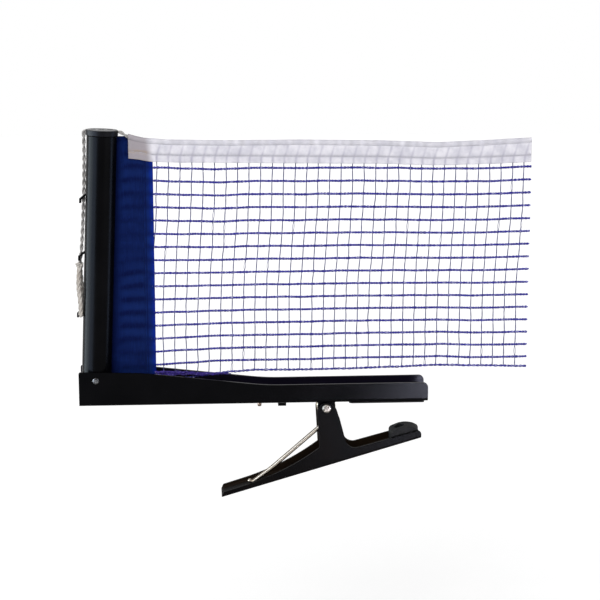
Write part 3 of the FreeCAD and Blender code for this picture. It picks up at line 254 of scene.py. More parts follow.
def bumped(look, height, depth, under=None):
    """A bump of a height map, so many millimetres deep, over another bump."""
    inputs = {"Height": height, "Strength": 1.0, "Distance": depth * MM}
    if under is not None:
        inputs["Normal"] = under
    return add_node(look, "Bump", inputs).outputs[0]


def powder_coat(name, dark, pale, inside=None, back=0.0, rough=0.0):
    """Black semi-gloss powder coat: fine orange peel, faint dust and rubbed patches.

    The inside colour, on the arm a painted sheen, goes on the inner faces of the far side, whose outer face
    lies at the back.
    """
    look = new_look(name, {"Specular IOR Level": 0.03, "Specular Tint": (0.9, 0.95, 1.0, 1)})
    peel = grain(look, 1.6, 3.0)
    dust = grain(look, 9.0, 4.0, rough=0.7)
    patches = grain(look, 0.05, 3.0)
    body = mixed(look, ranged(look, patches, 0.35, 0.7), dark, pale)
    # On the arm the inside colour is a painted sheen on the far wall's inner faces.
    if inside:
        depth = add_node(look, "SeparateXYZ", {"Vector": place_of(look)}).outputs["Y"]
        far_side = ranged(look, depth, 3.0, 6.0)
        before_back = ranged(look, depth, back - 0.8, back - 0.6, 1, 0)
        body = mixed(look, times(look, far_side, before_back), body, inside)
    body = mixed(look, ranged(look, dust, 0.68, 0.8, 0.0, 0.4), body, (0.009, 0.009, 0.01, 1))
    worn = ranged(look, combined(look, "ADD", patches, dust), 0.6, 1.4, 0.2 + rough, 0.32 + rough)
    return finished(look, body, bumped(look, dust, 0.004, bumped(look, peel, 0.012)), worn)


def rubber():
    look = new_look("rubber", {"Specular IOR Level": 0.08})
    pores = grain(look, 5.0, 4.0)
    bloom = ranged(look, grain(look, 0.12, 3.0), 0.4, 0.75)
    body = mixed(look, bloom, (0.005, 0.005, 0.005, 1), (0.012, 0.0115, 0.011, 1))
    return finished(look, body, bumped(look, pores, 0.05), ranged(look, pores, 0.3, 0.7, 0.6, 0.85))


def plastic():
    """Black moulded plastic with a fine sparked skin and a painted sheen on the cap's top."""
    look = new_look("moulded_plastic", {"Specular IOR Level": 0.045})
    spark = grain(look, 4.0, 3.0)
    haze = ranged(look, grain(look, 0.2, 2.0), 0.35, 0.7)
    body = mixed(look, haze, (0.003, 0.003, 0.004, 1), (0.007, 0.007, 0.009, 1))
    spot = add_node(look, "TexCoord").outputs["Object"]
    axis = POST.col[2].to_3d()
    up_post = add_node(look, "VectorMath", {0: spot, 1: axis}, operation="DOT_PRODUCT").outputs["Value"]
    top = CAP_CROWN.dot(axis) * MM
    # Painted sheen: the cap's top face is made paler to stand for the pale reflection on it.
    painted_sheen = ranged(look, up_post, top - 0.35 * MM, top - 0.1 * MM, 0.0, 0.8)
    body = mixed(look, painted_sheen, body, (0.15, 0.15, 0.155, 1))
    return finished(look, body, bumped(look, spark, 0.01), ranged(look, spark, 0.3, 0.7, 0.3, 0.42))


def plated(name, axis, head_radius, dull, bright):
    """Nickel on rivets that run along Y, blotched where the plating is thin and dark round the head's rim."""
    look = new_look(name, {"Metallic": 1.0})
    blotch = grain(look, 1.3, 4.0)
    scratch = grain(look, 6.0, 3.0, place_of(look, (1, 1, 0.15)))
    body = mixed(look, ranged(look, blotch, 0.36, 0.64), dull, bright)
    spot = add_node(look, "TexCoord").outputs["Object"]
    from_axis = add_node(look, "VectorMath", {0: spot, 1: axis * MM}, operation="SUBTRACT").outputs[0]
    flat = add_node(look, "VectorMath", {0: from_axis, 1: (1, 0, 1)}, operation="MULTIPLY").outputs[0]
    reach = add_node(look, "VectorMath", {0: flat}, operation="LENGTH").outputs["Value"]
    rim = ranged(look, reach, 0.8 * head_radius * MM, 0.97 * head_radius * MM)
    body = mixed(look, rim, body, (0.05, 0.045, 0.04, 1))
    bump = bumped(look, blotch, 0.03, bumped(look, scratch, 0.006))
    return finished(look, body, bump, ranged(look, scratch, 0.3, 0.7, 0.3, 0.5))


def drawn_wire():
    """Drawn wire: die lines along it, stains, painted shade in brown along its edges and on its lower side,
    and brown at its tip.
    """
    look = new_look("drawn_wire", {"Metallic": 1.0})
    round_it = times(look, attribute(look, "around"), 9.0)
    inputs = {"W": round_it, "Scale": 1.0, "Detail": 2.0}
    lines = add_node(look, "TexNoise", inputs, noise_dimensions="1D").outputs["Fac"]
    body = layered(
        look,
        mixed(look, ranged(look, lines, 0.35, 0.62), (0.15, 0.125, 0.098, 1), (0.38, 0.35, 0.3, 1)),
        (ranged(look, grain(look, 0.12, 2.0), 0.45, 0.7, 0.0, 0.45), (0.26, 0.21, 0.15, 1)),
        # Painted shade: brown along the wire's edges as seen from front and back.
        (times(look, attribute(look, "side"), 0.85), (0.13, 0.1, 0.068, 1)),
        # Painted shade: dark brown on the wire's lower side.
        (ranged(look, attribute(look, "under"), 0.05, 0.6, 0.0, 0.9), (0.055, 0.033, 0.017, 1)),
        (times(look, attribute(look, "tip"), 0.85), (0.11, 0.075, 0.055, 1)),
    )
    return finished(look, body, bumped(look, lines, 0.01), ranged(look, lines, 0.3, 0.7, 0.36, 0.2))


def woven(look, pitch, depth):
    """A plain weave in the plane of the net: its height and its bump."""
    phase = 2 * pi / pitch
    spot = add_node(look, "SeparateXYZ", {"Vector": place_of(look)})
    across, upward = (
        combined(look, "SINE", times(look, spot.outputs[axis], phase), 0.0) for axis in "XZ"
    )
    height = times(look, across, upward)
    return height, bumped(look, height, depth)


def sleeve_fabric():
    """Navy polyester with a plain weave, painted highlights on its folds' crests, painted shade in their
    valleys and a painted shadow beside the post.
    """
    look = new_look("navy_polyester", {
        "Specular IOR Level": 0.03, "Roughness": 0.8,
        "Sheen Weight": 0.02, "Sheen Roughness": 0.4, "Sheen Tint": (0.2, 0.4, 0.9, 1),
    })
    height, bump = woven(look, 0.55, 0.05)
    fade = grain(look, 0.12, 4.0, place_of(look, (0.5, 1, 1.8)))
    threads = grain(look, 1.6, 3.0, place_of(look, (1.6, 1, 0.08)))
    # Painted light: the fold mark darkens the valleys and lightens the crests, over random tone.
    crest = combined(look, "ADD", times(look, fade, 0.6), times(look, attribute(look, "fold"), 0.5))
    body = layered(
        look,
        mixed(look, ranged(look, crest, 0.3, 0.9), (0.0012, 0.0045, 0.044, 1), (0.0048, 0.0175, 0.105, 1)),
        (ranged(look, threads, 0.45, 0.75, 0.0, 0.5), (0.007, 0.022, 0.135, 1)),
        # Painted shadow of the post on the cloth beside it.
        (attribute(look, "painted_post_shadow"), (0.0008, 0.002, 0.02, 1)),
        # Painted shade in the weave's hollows.
        (ranged(look, height, -1, 1, 0.25, 0.0), (0.001, 0.003, 0.03, 1)),
    )
    return finished(look, body, bump)


def binding_fabric():
    """Band in the sleeve's blue with a painted highlight towards its fold, darker along its seam, and painted
    shade in its furrows.
    """
    look = new_look("blue_band", {"Specular IOR Level": 0.03, "Sheen Weight": 0.02, "Roughness": 0.75})
    height, bump = woven(look, 0.7, 0.05)
    fade = ranged(look, grain(look, 0.15, 3.0), 0.3, 0.7)
    body = layered(
        look,
        mixed(look, fade, (0.0014, 0.0075, 0.075, 1), (0.0042, 0.0235, 0.15, 1)),
        # Painted highlight towards the band's fold.
        (ranged(look, attribute(look, "outward"), 0.45, 1.0), (0.003, 0.021, 0.3, 1)),
        (times(look, attribute(look, "seam"), 0.8), (0.001, 0.005, 0.04, 1)),
        # Painted shade in the furrows.
        (times(look, attribute(look, "furrow"), 0.55), (0.001, 0.005, 0.045, 1)),
        # Painted shade in the weave's hollows.
        (ranged(look, height, -1, 1, 0.2, 0.0), (0.001, 0.003, 0.06, 1)),
    )
    return finished(look, body, bump)


def tape_fabric():
    """Thin white tape, greyer over netting and sleeve, grimy along its stitches, with painted shade over the
    cord, along its stitch line and in its weave.
    """
    look = new_look("white_tape", {"Specular IOR Level": 0.15, "Sheen Weight": 0.05, "Roughness": 0.85})
    height, bump = woven(look, 0.6, 0.04)
    fade = ranged(look, grain(look, 0.2, 4.0), 0.35, 0.65)
    spots = ranged(look, grain(look, 0.45, 3.0, place_of(look, (0.4, 1, 1))), 0.35, 0.7)
    body = layered(
        look,
        mixed(look, fade, (0.61, 0.6, 0.67, 1), (0.79, 0.775, 0.83, 1)),
        (attribute(look, "behind"), (0.3, 0.285, 0.4, 1)),
        (attribute(look, "over_navy"), (0.332, 0.3, 0.321, 1)),
        (times(look, attribute(look, "grime"), spots), (0.36, 0.25, 0.13, 1)),
        # Painted shade along the stitch line's groove.
        (times(look, attribute(look, "sewn"), 0.75), (0.4, 0.39, 0.44, 1)),
        # Painted shade over the top of the tape where it wraps the cord.
        (attribute(look, "tunnel"), (0.46, 0.45, 0.49, 1)),
        # Painted shade in the weave's hollows.
        (ranged(look, height, -1, 1, 0.12, 0.0), (0.42, 0.4, 0.48, 1)),
    )
    return finished(look, body, bump)


def twine(name, dark, light, specks):
    """Netting twine: twisted filaments, uneven dye and pale specks."""
    look = new_look(name, {"Specular IOR Level": 0.1, "Sheen Weight": 0.05, "Roughness": 0.7})
    lay = grain(look, 1.6, 3.0)
    fleck = ranged(look, grain(look, 1.1, 1.0), 0.56, 0.66, 0.0, specks)
    body = mixed(look, ranged(look, lay, 0.35, 0.68), dark, light)
    body = mixed(look, fleck, body, (0.5, 0.5, 0.72, 1))
    return finished(look, body, bumped(look, lay, 0.05))


def cotton(name, pale, dull):
    """Cotton cord: fine fibres with painted shade between them, grubby in places."""
    look = new_look(name, {"Specular IOR Level": 0.05, "Sheen Weight": 0.1, "Roughness": 0.95})
    fibre = grain(look, 5.0, 4.0, place_of(look, (1.6, 1.6, 0.5), (0.5, 0.4, 0)))
    grime = ranged(look, grain(look, 0.16, 4.0), 0.35, 0.7)
    body = mixed(look, grime, pale, dull)
    # Painted shade between the fibres.
    body = mixed(look, ranged(look, fibre, 0.3, 0.7, 0.4, 0.0), body, (0.13, 0.12, 0.11, 1))
    return finished(look, body, bumped(look, fibre, 0.12))


def thread():
    look = new_look("sewing_thread", {"Specular IOR Level": 0.2, "Roughness": 0.7})
    twist = grain(look, 4.0, 2.0)
    body = mixed(look, ranged(look, twist, 0.3, 0.7), (0.3, 0.29, 0.34, 1), (0.48, 0.465, 0.51, 1))
    return finished(look, body, bumped(look, twist, 0.04))


# Meshes


def new_piece(name, vertices, faces, look, slot, values=None):
    """A smooth mesh in metres from vertices in millimetres, with named numbers on its points."""
    mesh = bpy.data.meshes.new(name)
    mesh.from_pydata([vertex * MM for vertex in vertices], [], faces)
    mesh.polygons.foreach_set("use_smooth", [True] * len(faces))
    mesh.materials.append(look)
    for key, numbers in (values or {}).items():
        mesh.attributes.new(key, "FLOAT", "POINT").data.foreach_set("value", numbers)
    piece = bpy.data.objects.new(name, mesh)
    bpy.context.scene.collection.objects.link(piece)
    return piece


def frames_along(points):
    """Two directions across the line at each point, which turn as little as they can."""
    last = len(points) - 1
    across = None
    found = []
    for i in range(len(points)):
        ahead = (points[min(i + 1, last)] - points[max(i - 1, 0)]).normalized()
        across = ahead.orthogonal() if across is None else across - ahead * across.dot(ahead)
        across.normalize()
        found.append((across.copy(), ahead.cross(across)))
    return found


def sweep(shell, points, radius, sides=6):
    """Add a tube with closed ends to a shell of vertices and faces. The radius may change along it."""
    vertices, faces = shell
    start = len(vertices)
    for i, (point, (across, up)) in enumerate(zip(points, frames_along(points))):
        reach = radius(i) if callable(radius) else radius
        for k in range(sides):
            angle = 2 * pi * k / sides
            vertices.append(point + (across * cos(angle) + up * sin(angle)) * reach)
    for i in range(len(points) - 1):
        ring = start + i * sides
        for k in range(sides):
            after = (k + 1) % sides
            faces.append((ring + k, ring + after, ring + sides + after, ring + sides + k))
    faces.append(tuple(start + k for k in reversed(range(sides))))
    faces.append(tuple(len(vertices) - sides + k for k in range(sides)))


def spaced(points, step):
    """Points at even steps along a line."""
    found = [points[0].copy()]
    left = step
    for before, after in zip(points, points[1:]):
        run = after - before
        length = run.length
        while length > 0 and left <= length:
            found.append(before + run * (left / length))
            left += step
        left -= length
    return found


def between(table, x):
    """Smooth value at x of a table of places and values in rising order."""
    if x <= table[0][0]:
        return table[0][1]
    for (left, low), (right, high) in zip(table, table[1:]):
        if x <= right:
            share = (x - left) / (right - left)
            return low + (high - low) * share * share * (3 - 2 * share)
    return table[-1][1]


def smooth(value, low, high):
    share = min(1.0, max(0.0, (value - low) / (high - low)))
    return share * share * (3 - 2 * share)


def wobble(*place):
    return noise.noise(Vector(place))


def grid_faces(columns, rows, start=0):
    """Faces of a grid whose points are listed column by column, one more to a column than there are rows."""
    step = rows + 1
    corners = [start + i * step + k for i in range(columns) for k in range(rows)]
    return [(corner, corner + step, corner + step + 1, corner + 1) for corner in corners]


def give_thickness(piece, thickness, offset):
    made = piece.modifiers.new("thickness", "SOLIDIFY")
    made.thickness = thickness * MM
    made.offset = offset
    made.use_even_offset = True


# Cord

CORD_RADIUS = 1.05
FIBRE_RADIUS = 0.035
# The route over the net: X from the side line and the drop below the cap's top
CORD_OVER_NET = [
    (111.6, 7.7), (83.0, 9.2), (56.0, 10.2), (22.0, 8.9), (-24.0, 8.2), (-70.0, 8.3),
    (-101.0, 7.7), (-115.0, 6.6), (-119.5, 5.6), (-124.6, 4.0),
]
# The rest of the route in the post's frame, whose origin is the post rivet and whose Z is the post's axis
CAP_RIM = 10.45
GROOVE = 1.8
RIDE = 145.35
CLEAR = 2.65
KNOT = Vector((-11.5, 1.75, 66.1))
BESIDE_TUBE = 9.9
OVER_CAP = [
    Vector((CAP_RIM + 0.4, GROOVE * 0.8, RIDE - 0.1)),
    Vector((CAP_RIM - 3, GROOVE, RIDE)),
    Vector((-CAP_RIM + 2.4, GROOVE, RIDE + 0.1)),
    Vector((-CAP_RIM - 0.1, GROOVE, RIDE + 0.1)),
    Vector((-CAP_RIM - 0.1, GROOVE, RIDE - 2.6)),
    Vector((-BESIDE_TUBE, CLEAR, RIDE - 20)),
    Vector((-BESIDE_TUBE - 0.1, CLEAR + 0.2, 95.9)),
    Vector((-BESIDE_TUBE - 0.8, CLEAR + 0.5, 71.4)),
    KNOT + Vector((0.1, 0.1, 1.0)),
]
# The end loop's heights, from under the lowest hook up towards the knot
UNDER_HOOK = 37.3
BESIDE_HOOK = 38.9
LOOP_LOW = 44.9
LOOP_HIGH = 55.9
LOOP = [
    KNOT + Vector((0, 1.15, -0.5)),
    Vector((-BESIDE_TUBE - 0.1, CLEAR, LOOP_HIGH)),
    Vector((-BESIDE_TUBE - 0.3, CLEAR, LOOP_LOW)),
    Vector((-BESIDE_TUBE, CLEAR, BESIDE_HOOK)),
    Vector((-BESIDE_TUBE, CLEAR, UNDER_HOOK)),
    Vector((-BESIDE_TUBE, 0, UNDER_HOOK)),
    Vector((-BESIDE_TUBE, -CLEAR, UNDER_HOOK)),
    Vector((-BESIDE_TUBE, -CLEAR, BESIDE_HOOK)),
    Vector((-BESIDE_TUBE - 0.3, -CLEAR, LOOP_LOW)),
    Vector((-CAP_RIM - 1.5, -CLEAR * 0.9, LOOP_HIGH)),
    KNOT + Vector((0, -1.15, -0.5)),
]


def smooth_line(points, step, closed=False):
    """Evenly spaced points read from the NURBS spline through a route."""
    curve = bpy.data.curves.new("route", "CURVE")
    curve.dimensions = "3D"
    curve.resolution_u = 16
    spline = curve.splines.new("NURBS")
    spline.points.add(len(points) - 1)
    for place, point in zip(spline.points, points):
        place.co = (*point, 1)
    spline.order_u = 3
    spline.use_endpoint_u = not closed
    spline.use_cyclic_u = closed
    holder = bpy.data.objects.new("route", curve)
    bpy.context.scene.collection.objects.link(holder)
    bpy.context.view_layer.update()
    line = bpy.data.meshes.new_from_object(holder)
    found = [vertex.co.copy() for vertex in line.vertices]
    bpy.data.objects.remove(holder)
    bpy.data.curves.remove(curve)
    bpy.data.meshes.remove(line)
    return spaced(found + found[:1] if closed else found, step)


def lay_rope(shell, line, lay, plies=2, spread=0.52, ply=0.56, start=0.0):
    """Twist plies round a line whose points are evenly spaced."""
    step = (line[1] - line[0]).length
    frames = frames_along(line)
    for number in range(plies):
        strand = []
        for i, point in enumerate(line):
            across, up = frames[i]
            angle = start + 2 * pi * (i * step / lay + number / plies)
            strand.append(point + (across * cos(angle) + up * sin(angle)) * spread)
        sweep(shell, strand, lambda i: ply * (1 + 0.12 * wobble(i * step * 0.9, number * 9.0, 3.0)), 8)


def cord_line(step):
    """The cord's middle from the net's cut end over the cap and down to its knot."""
    over_net = [Vector((SIDE_LINE + x, 0, CAP_TOP - drop)) for x, drop in CORD_OVER_NET]
    return smooth_line(over_net + [POST @ point for point in OVER_CAP], step)


def knot_line():
    """An overhand knot drawn tight."""
    size = 0.62
    count = 60
    turns = []
    for i in range(count):
        t = 2 * pi * i / count
        across, deep, up = sin(t) + 2 * sin(2 * t), -1.3 * sin(3 * t), 1.15 * (cos(t) - 2 * cos(2 * t))
        turns.append(Vector((across, deep, up)) * size)
    return smooth_line([POST @ (KNOT + point) for point in turns], 0.35, closed=True)


def add_fuzz(shell, line, count, reach, seed):
    """Short loose fibres standing off a cord."""
    golden_turn = 0.618034
    frames = frames_along(line)
    for number in range(count):
        share = (number + 0.5 + 0.4 * wobble(number * 3.7, seed, 0.5)) / count
        i = min(len(line) - 1, max(0, int(share * (len(line) - 1))))
        across, up = frames[i]
        angle = 2 * pi * ((number * golden_turn) % 1)
        outward = across * cos(angle) + up * sin(angle)
        ahead = across.cross(up) * (0.6 * wobble(number * 1.3, seed, 7.7))
        length = reach * (0.6 + 0.8 * abs(wobble(number * 0.77, seed, 2.2)))
        base = line[i] + outward * CORD_RADIUS * 0.8
        bend = outward + ahead * 1.5
        sweep(shell, [base, base + outward * length * 0.5, base + bend * length], FIBRE_RADIUS, 3)


def make_cord():
    step = 0.3
    main_line = cord_line(step)
    loop = smooth_line([POST @ point for point in LOOP], step)
    shell = ([], [])
    lay_rope(shell, main_line, lay=9.5, start=0.6)
    fresh = cotton("cotton", (0.54, 0.525, 0.515, 1), (0.36, 0.35, 0.34, 1))
    rope = new_piece("cord_rope", *shell, fresh, "cord")
    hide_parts("tension_cord")
    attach(rope, "frame")
    shell = ([], [])
    lay_rope(shell, loop, lay=11.0, plies=3, spread=0.7, ply=0.72)
    lay_rope(shell, knot_line(), lay=6.0, spread=0.45, ply=0.5)
    used = cotton("used_cotton", (0.8, 0.77, 0.73, 1), (0.5, 0.45, 0.4, 1))
    ends = new_piece("cord_loop", *shell, used, "cord")
    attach(ends, "frame")
    shell = ([], [])
    cap_x = (POST @ Vector((-CAP_RIM, 0, RIDE))).x
    add_fuzz(shell, [point for point in main_line if point.x < cap_x], count=420, reach=0.9, seed=1.0)
    add_fuzz(shell, loop, count=420, reach=1.0, seed=5.0)
    fuzz = new_piece("cord_fuzz", *shell, used, "cord")
    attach(fuzz, "frame")


# Spring

WIRE_RADIUS = 1.25
COIL_RADIUS = 4.5
UPPER_FALL = radians(12.8)
LOWER_FALL = radians(65.2)
COIL_TURNS = 2 + (pi + UPPER_FALL - LOWER_FALL) / (2 * pi)
COIL_PITCH = 3.2
COIL_HALF = COIL_TURNS * COIL_PITCH / 2
WIRE_STEP = 0.6
# The upper leg's gap under the arm, and its reach and hook from the pivot
LEG_GAP = 0.05
UPPER_REACH = 39.5
UPPER_HOOK = 3.6
# The lower leg's knee from the coil, its end from the pivot, its bow and its hook
KNEE_REACH = 6.8
LOWER_END = Vector((-45.0, -COIL_HALF, -46.78))
BOW = radians(0.95)
BOW_REACH = 45
HOOK_ANGLE = radians(120)
LOWER_HOOK = 2.9


def bent(points, radii, step=0.7):
    """Points along straight runs of wire joined by tangent bends."""
    found = [points[0]]
    for before, here, after, radius in zip(points, points[1:], points[2:], radii):
        run_in = (here - before).normalized()
        run_out = (after - here).normalized()
        turn = run_in.angle(run_out)
        reach = radius * tan(turn / 2)
        side = (run_out - run_in * run_out.dot(run_in)).normalized()
        start = here - run_in * reach
        count = max(4, int(radius * turn / step) + 1)
        for i in range(count + 1):
            angle = turn * i / count
            found.append(start + run_in * radius * sin(angle) + side * radius * (1 - cos(angle)))
    return found + [points[-1]]


def on_coil(share):
    """A point of the coil by the share of its length, counted from the upper leg."""
    angle = pi / 2 + UPPER_FALL - 2 * pi * COIL_TURNS * share
    return PIVOT + Vector((COIL_RADIUS * cos(angle), COIL_HALF * (1 - 2 * share), COIL_RADIUS * sin(angle)))


def falling(angle):
    """Direction outward and down by an angle."""
    return Vector((-cos(angle), 0, -sin(angle)))


def spring_line():
    """Evenly spaced points from the upper leg's tip round the coil to the lower leg's tip."""
    leg_z = box_of("arm_pad")[1].z - LEG_GAP - WIRE_RADIUS
    begin, finish = on_coil(0), on_coil(1)
    upper = [
        Vector((PIVOT.x - UPPER_REACH, COIL_HALF, leg_z - UPPER_HOOK)),
        Vector((PIVOT.x - UPPER_REACH, COIL_HALF, leg_z)),
        Vector((begin.x - (begin.z - leg_z) / tan(UPPER_FALL), COIL_HALF, leg_z)),
        begin,
    ]
    points = bent(upper, [2.0, 15.0])[:-1]
    count = 140
    points += [on_coil(i / count) for i in range(count + 1)]
    knee = finish + falling(LOWER_FALL) * KNEE_REACH
    end = PIVOT + LOWER_END
    flat = knee + falling(atan2(knee.z - end.z, knee.x - end.x) + BOW) * BOW_REACH
    hook = end + Vector((cos(HOOK_ANGLE), 0, sin(HOOK_ANGLE))) * LOWER_HOOK
    points += bent([finish, knee, flat, end, hook], [5.0, 120.0, 2.0])[1:]
    return spaced(points, WIRE_STEP)


def make_spring():
    """The torsion spring as one smooth wire between its legs."""
    points = spring_line()
    vertices, faces = [], []
    sides = 20
    ends = (0, len(points) - 1)
    sweep((vertices, faces), points, lambda i: WIRE_RADIUS * (0.82 if i in ends else 1), sides)
    marks = {"around": [], "under": [], "side": [], "tip": []}
    for i, point in enumerate(points):
        for k in range(sides):
            outward = vertices[i * sides + k] - point
            marks["around"].append(sin(pi * k / sides))
            # Painted shade on the wire's lower side.
            marks["under"].append(-outward.z / WIRE_RADIUS)
            # Painted shade along the wire's edges as seen from front and back.
            marks["side"].append(1 - smooth(abs(outward.y) / WIRE_RADIUS, 0.55, 0.95))
            marks["tip"].append(1 - smooth(i * WIRE_STEP, 3.5, 6.0))
    wire = new_piece("spring_coil", vertices, faces, drawn_wire(), "spring_wire", marks)
    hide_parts("torsion_spring")
    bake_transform(wire)


# Netting

ROWS = 16
ROW_PITCH = 7.67
FIRST_ROW = 139.5
NETTING_DROP = 115
COLUMNS = 34
COLUMN_FIRST = -135.0
COLUMN_PITCH = 6.725
CELL_HEIGHT = 7.6
NETTING_LEFT = -137
# How far the first and the last row stray from level, by X
TOP_WAVE = [
    (-137, 0.9), (-118, 0.2), (-100, -0.4), (-78, 0.3), (-51, 0.0), (-24, 0.1), (3, -0.3), (30, -0.9),
    (58, -0.9), (85, 0.0),
]
LOW_WAVE = [
    (-137, -2.1), (-118, -1.2), (-100, -0.2), (-51, 0.0), (-24, 0.4), (30, 0.6), (58, -0.4), (85, -0.3),
]
# The hem's height by X: it dips into the channel beside the post
HEM = [
    (-137, 11.2), (-128, 12.7), (-119, 14.9), (-110, 16.3), (-102, 17.4), (-92, 18.4), (-78, 19.2),
    (-51, 19.0), (-24, 19.2), (3, 19.8), (30, 20.6), (58, 19.9), (85, 19.1),
]
# How far the verticals lean outward at the bottom, by X
LEAN = [(-137, 4.6), (-60, 4.4), (85, 2.7)]
# The tape's lower edge: X from the side line and the drop below the cap's top
TAPE_EDGE = [
    (-124.0, 16.6), (-109.7, 18.7), (-92.0, 19.3), (-24.0, 20.2), (22.0, 20.7), (56.0, 21.9),
    (90.0, 21.2), (112.0, 20.3),
]


def line_at(table, x):
    """Straight-line value at x of one of the tables that count X from the side line."""
    from_side = x - SIDE_LINE
    rows = sorted(table)
    for (left, low), (right, high) in zip(rows, rows[1:]):
        if from_side <= right:
            break
    return low + (high - low) * (from_side - left) / (right - left)


def tape_low(x):
    return CAP_TOP - line_at(TAPE_EDGE, x)


def cord_height(x):
    return CAP_TOP - line_at(CORD_OVER_NET, x)


def row_height(row, x):
    """Z of a row, of which the lower ones lie slightly closer together."""
    share = row / (ROWS - 1)
    level = FIRST_ROW - ROW_PITCH * row + 0.0037 * row * row
    stray = between(TOP_WAVE, x) * (1 - share) + between(LOW_WAVE, x) * share ** 2
    return level + stray + 0.22 * wobble(x * 0.09, row * 3.1, 0.0)


def column_place(column, z):
    """X of a vertical at a height."""
    top = COLUMN_FIRST + COLUMN_PITCH * column
    share = (FIRST_ROW - 0.75 - z) / NETTING_DROP
    lean = between(LEAN, top) * share
    common = 0.55 * sin(z * 0.058 + 0.8) + 0.4 * wobble(z * 0.05, top * 0.02, 5.0)
    return top - lean + common + 0.35 * wobble(z * 0.11, column * 2.7, 1.0)


def add_row(shell, line, row, pitch, spread, ply):
    """Two plies looped round each other along a line, with small openings."""
    frames = frames_along(line)
    step = (line[1] - line[0]).length
    for number in (0, 1):
        strand = []
        for i, point in enumerate(line):
            across, up = frames[i]
            walked = i * step
            angle = 2 * pi * walked / pitch + pi * number + 2.4 * wobble(walked * 0.15, row * 1.7, 0.3)
            open_by = spread * (1 + 0.7 * wobble(walked * 0.33, row * 5.1, 9.0))
            strand.append(point + (up * cos(angle) * open_by) + across * sin(angle) * spread * 0.7)
        sweep(shell, strand, ply, 6)


def add_column(shell, column):
    """One vertical, of two fine plies that part here and there into an eyelet."""
    low_x = column_place(column, 20)
    low = between(HEM, low_x)
    inside_tape = 8.5
    high = tape_low(COLUMN_FIRST + COLUMN_PITCH * column) + inside_tape
    step = 0.8
    count = int((high - low) / step) + 1
    bars = [row_height(row, low_x) for row in range(ROWS)]
    sides = (-1, 1)
    strands = ([], [])
    for i in range(count + 1):
        z = low + (high - low) * i / count
        x = column_place(column, z)
        past_edge = z - tape_low(x) - 3
        if past_edge > 0:
            x += 0.3 * past_edge
        nearest = min(abs(z - bar) for bar in bars)
        cell = int((FIRST_ROW - z) / CELL_HEIGHT)
        eyelet = 0.34 if wobble(column * 4.3, cell * 2.9, 6.0) > 0.45 else 0.06
        part = 0.1 + eyelet * smooth(nearest, 0.8, 3.2)
        for side, strand in zip(sides, strands):
            depth = 0.16 * side * cos(2 * pi * z / CELL_HEIGHT)
            strand.append(Vector((x + side * part, depth, z)))
    for strand in strands:
        near_bar = [min(abs(point.z - bar) for bar in bars) for point in strand]
        sweep(shell, strand, lambda i: 0.155 + 0.2 * exp(-(near_bar[i] / 0.55) ** 2), 6)


def make_netting():
    left = box_of("net_mesh")[0].x
    step = 0.6
    count = int((NET_END - left) / step)
    places = [left + (NET_END - left) * i / count for i in range(count + 1)]
    rows = ([], [])
    for row in range(ROWS):
        line = [Vector((x, 0, row_height(row, x))) for x in places]
        add_row(rows, line, row, pitch=3.3, spread=0.48, ply=0.42)
    deep = (0.012, 0.009, 0.13, 1)
    blue = (0.05, 0.043, 0.44, 1)
    netting = new_piece("netting_rows", *rows, twine("row_twine", deep, blue, 0.7), "blue_netting")
    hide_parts("net_mesh")
    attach(netting, "frame")
    columns = ([], [])
    for column in range(COLUMNS):
        if column_place(column, 60) < NET_END - 0.5:
            add_column(columns, column)
    grey = (0.022, 0.022, 0.1, 1)
    pale = (0.085, 0.085, 0.24, 1)
    uprights = new_piece("netting_columns", *columns, twine("column_twine", grey, pale, 0.35), "blue_netting")
    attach(uprights, "frame")
    slack = ([], [])
    add_slack(slack)
    violet = twine("slack_twine", (0.007, 0.004, 0.05, 1), (0.06, 0.03, 0.32, 1), 0.12)
    gathered = new_piece("netting_slack", *slack, violet, "blue_netting")
    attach(gathered, "frame")
    hem = ([], [])
    line = [
        Vector((x, -0.2, between(HEM, x) + 0.15 * wobble(x * 0.2, 4.0, 4.0)))
        for x in places if x > NETTING_LEFT
    ]
    add_row(hem, line, 40, pitch=5.2, spread=0.5, ply=0.38)
    edge = new_piece("netting_hem", *hem, twine("hem_twine", deep, blue, 0.9), "blue_netting")
    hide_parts("net_bottom_line")
    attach(edge, "frame")


def add_slack(shell):
    """The netting's slack that lies gathered in the channel beside the post."""
    strands = 20
    count = 36
    for strand in range(strands):
        reach = 37 + 14 * wobble(strand * 1.9, 0.0, 2.0)
        layer, place = divmod(strand, 4)
        points = []
        for i in range(count + 1):
            share = i / count
            x = NETTING_LEFT - 0.5 + reach * share
            y = -3.5 + 3.2 * share + 1.9 * wobble(x * 0.16, strand * 2.3, 0.0) - 0.25 * layer
            z = 19.9 - 2.6 * share - 0.5 * place * (1 - share) + 1.1 * wobble(x * 0.23, strand * 3.7, 8.0)
            points.append(Vector((x, y, z)))
        sweep(shell, points, 0.32, 6)


# Tape, sleeve and binding

TUNNEL_RADIUS = 1.5
TAPE_HALF = 1.0
STITCH_HEIGHT = 4.2
# The sleeve's plies: how far each lies from the net's plane, and where they leave the post's axis
PLY_OUT = 0.27
SLEEVE_START = 7.2


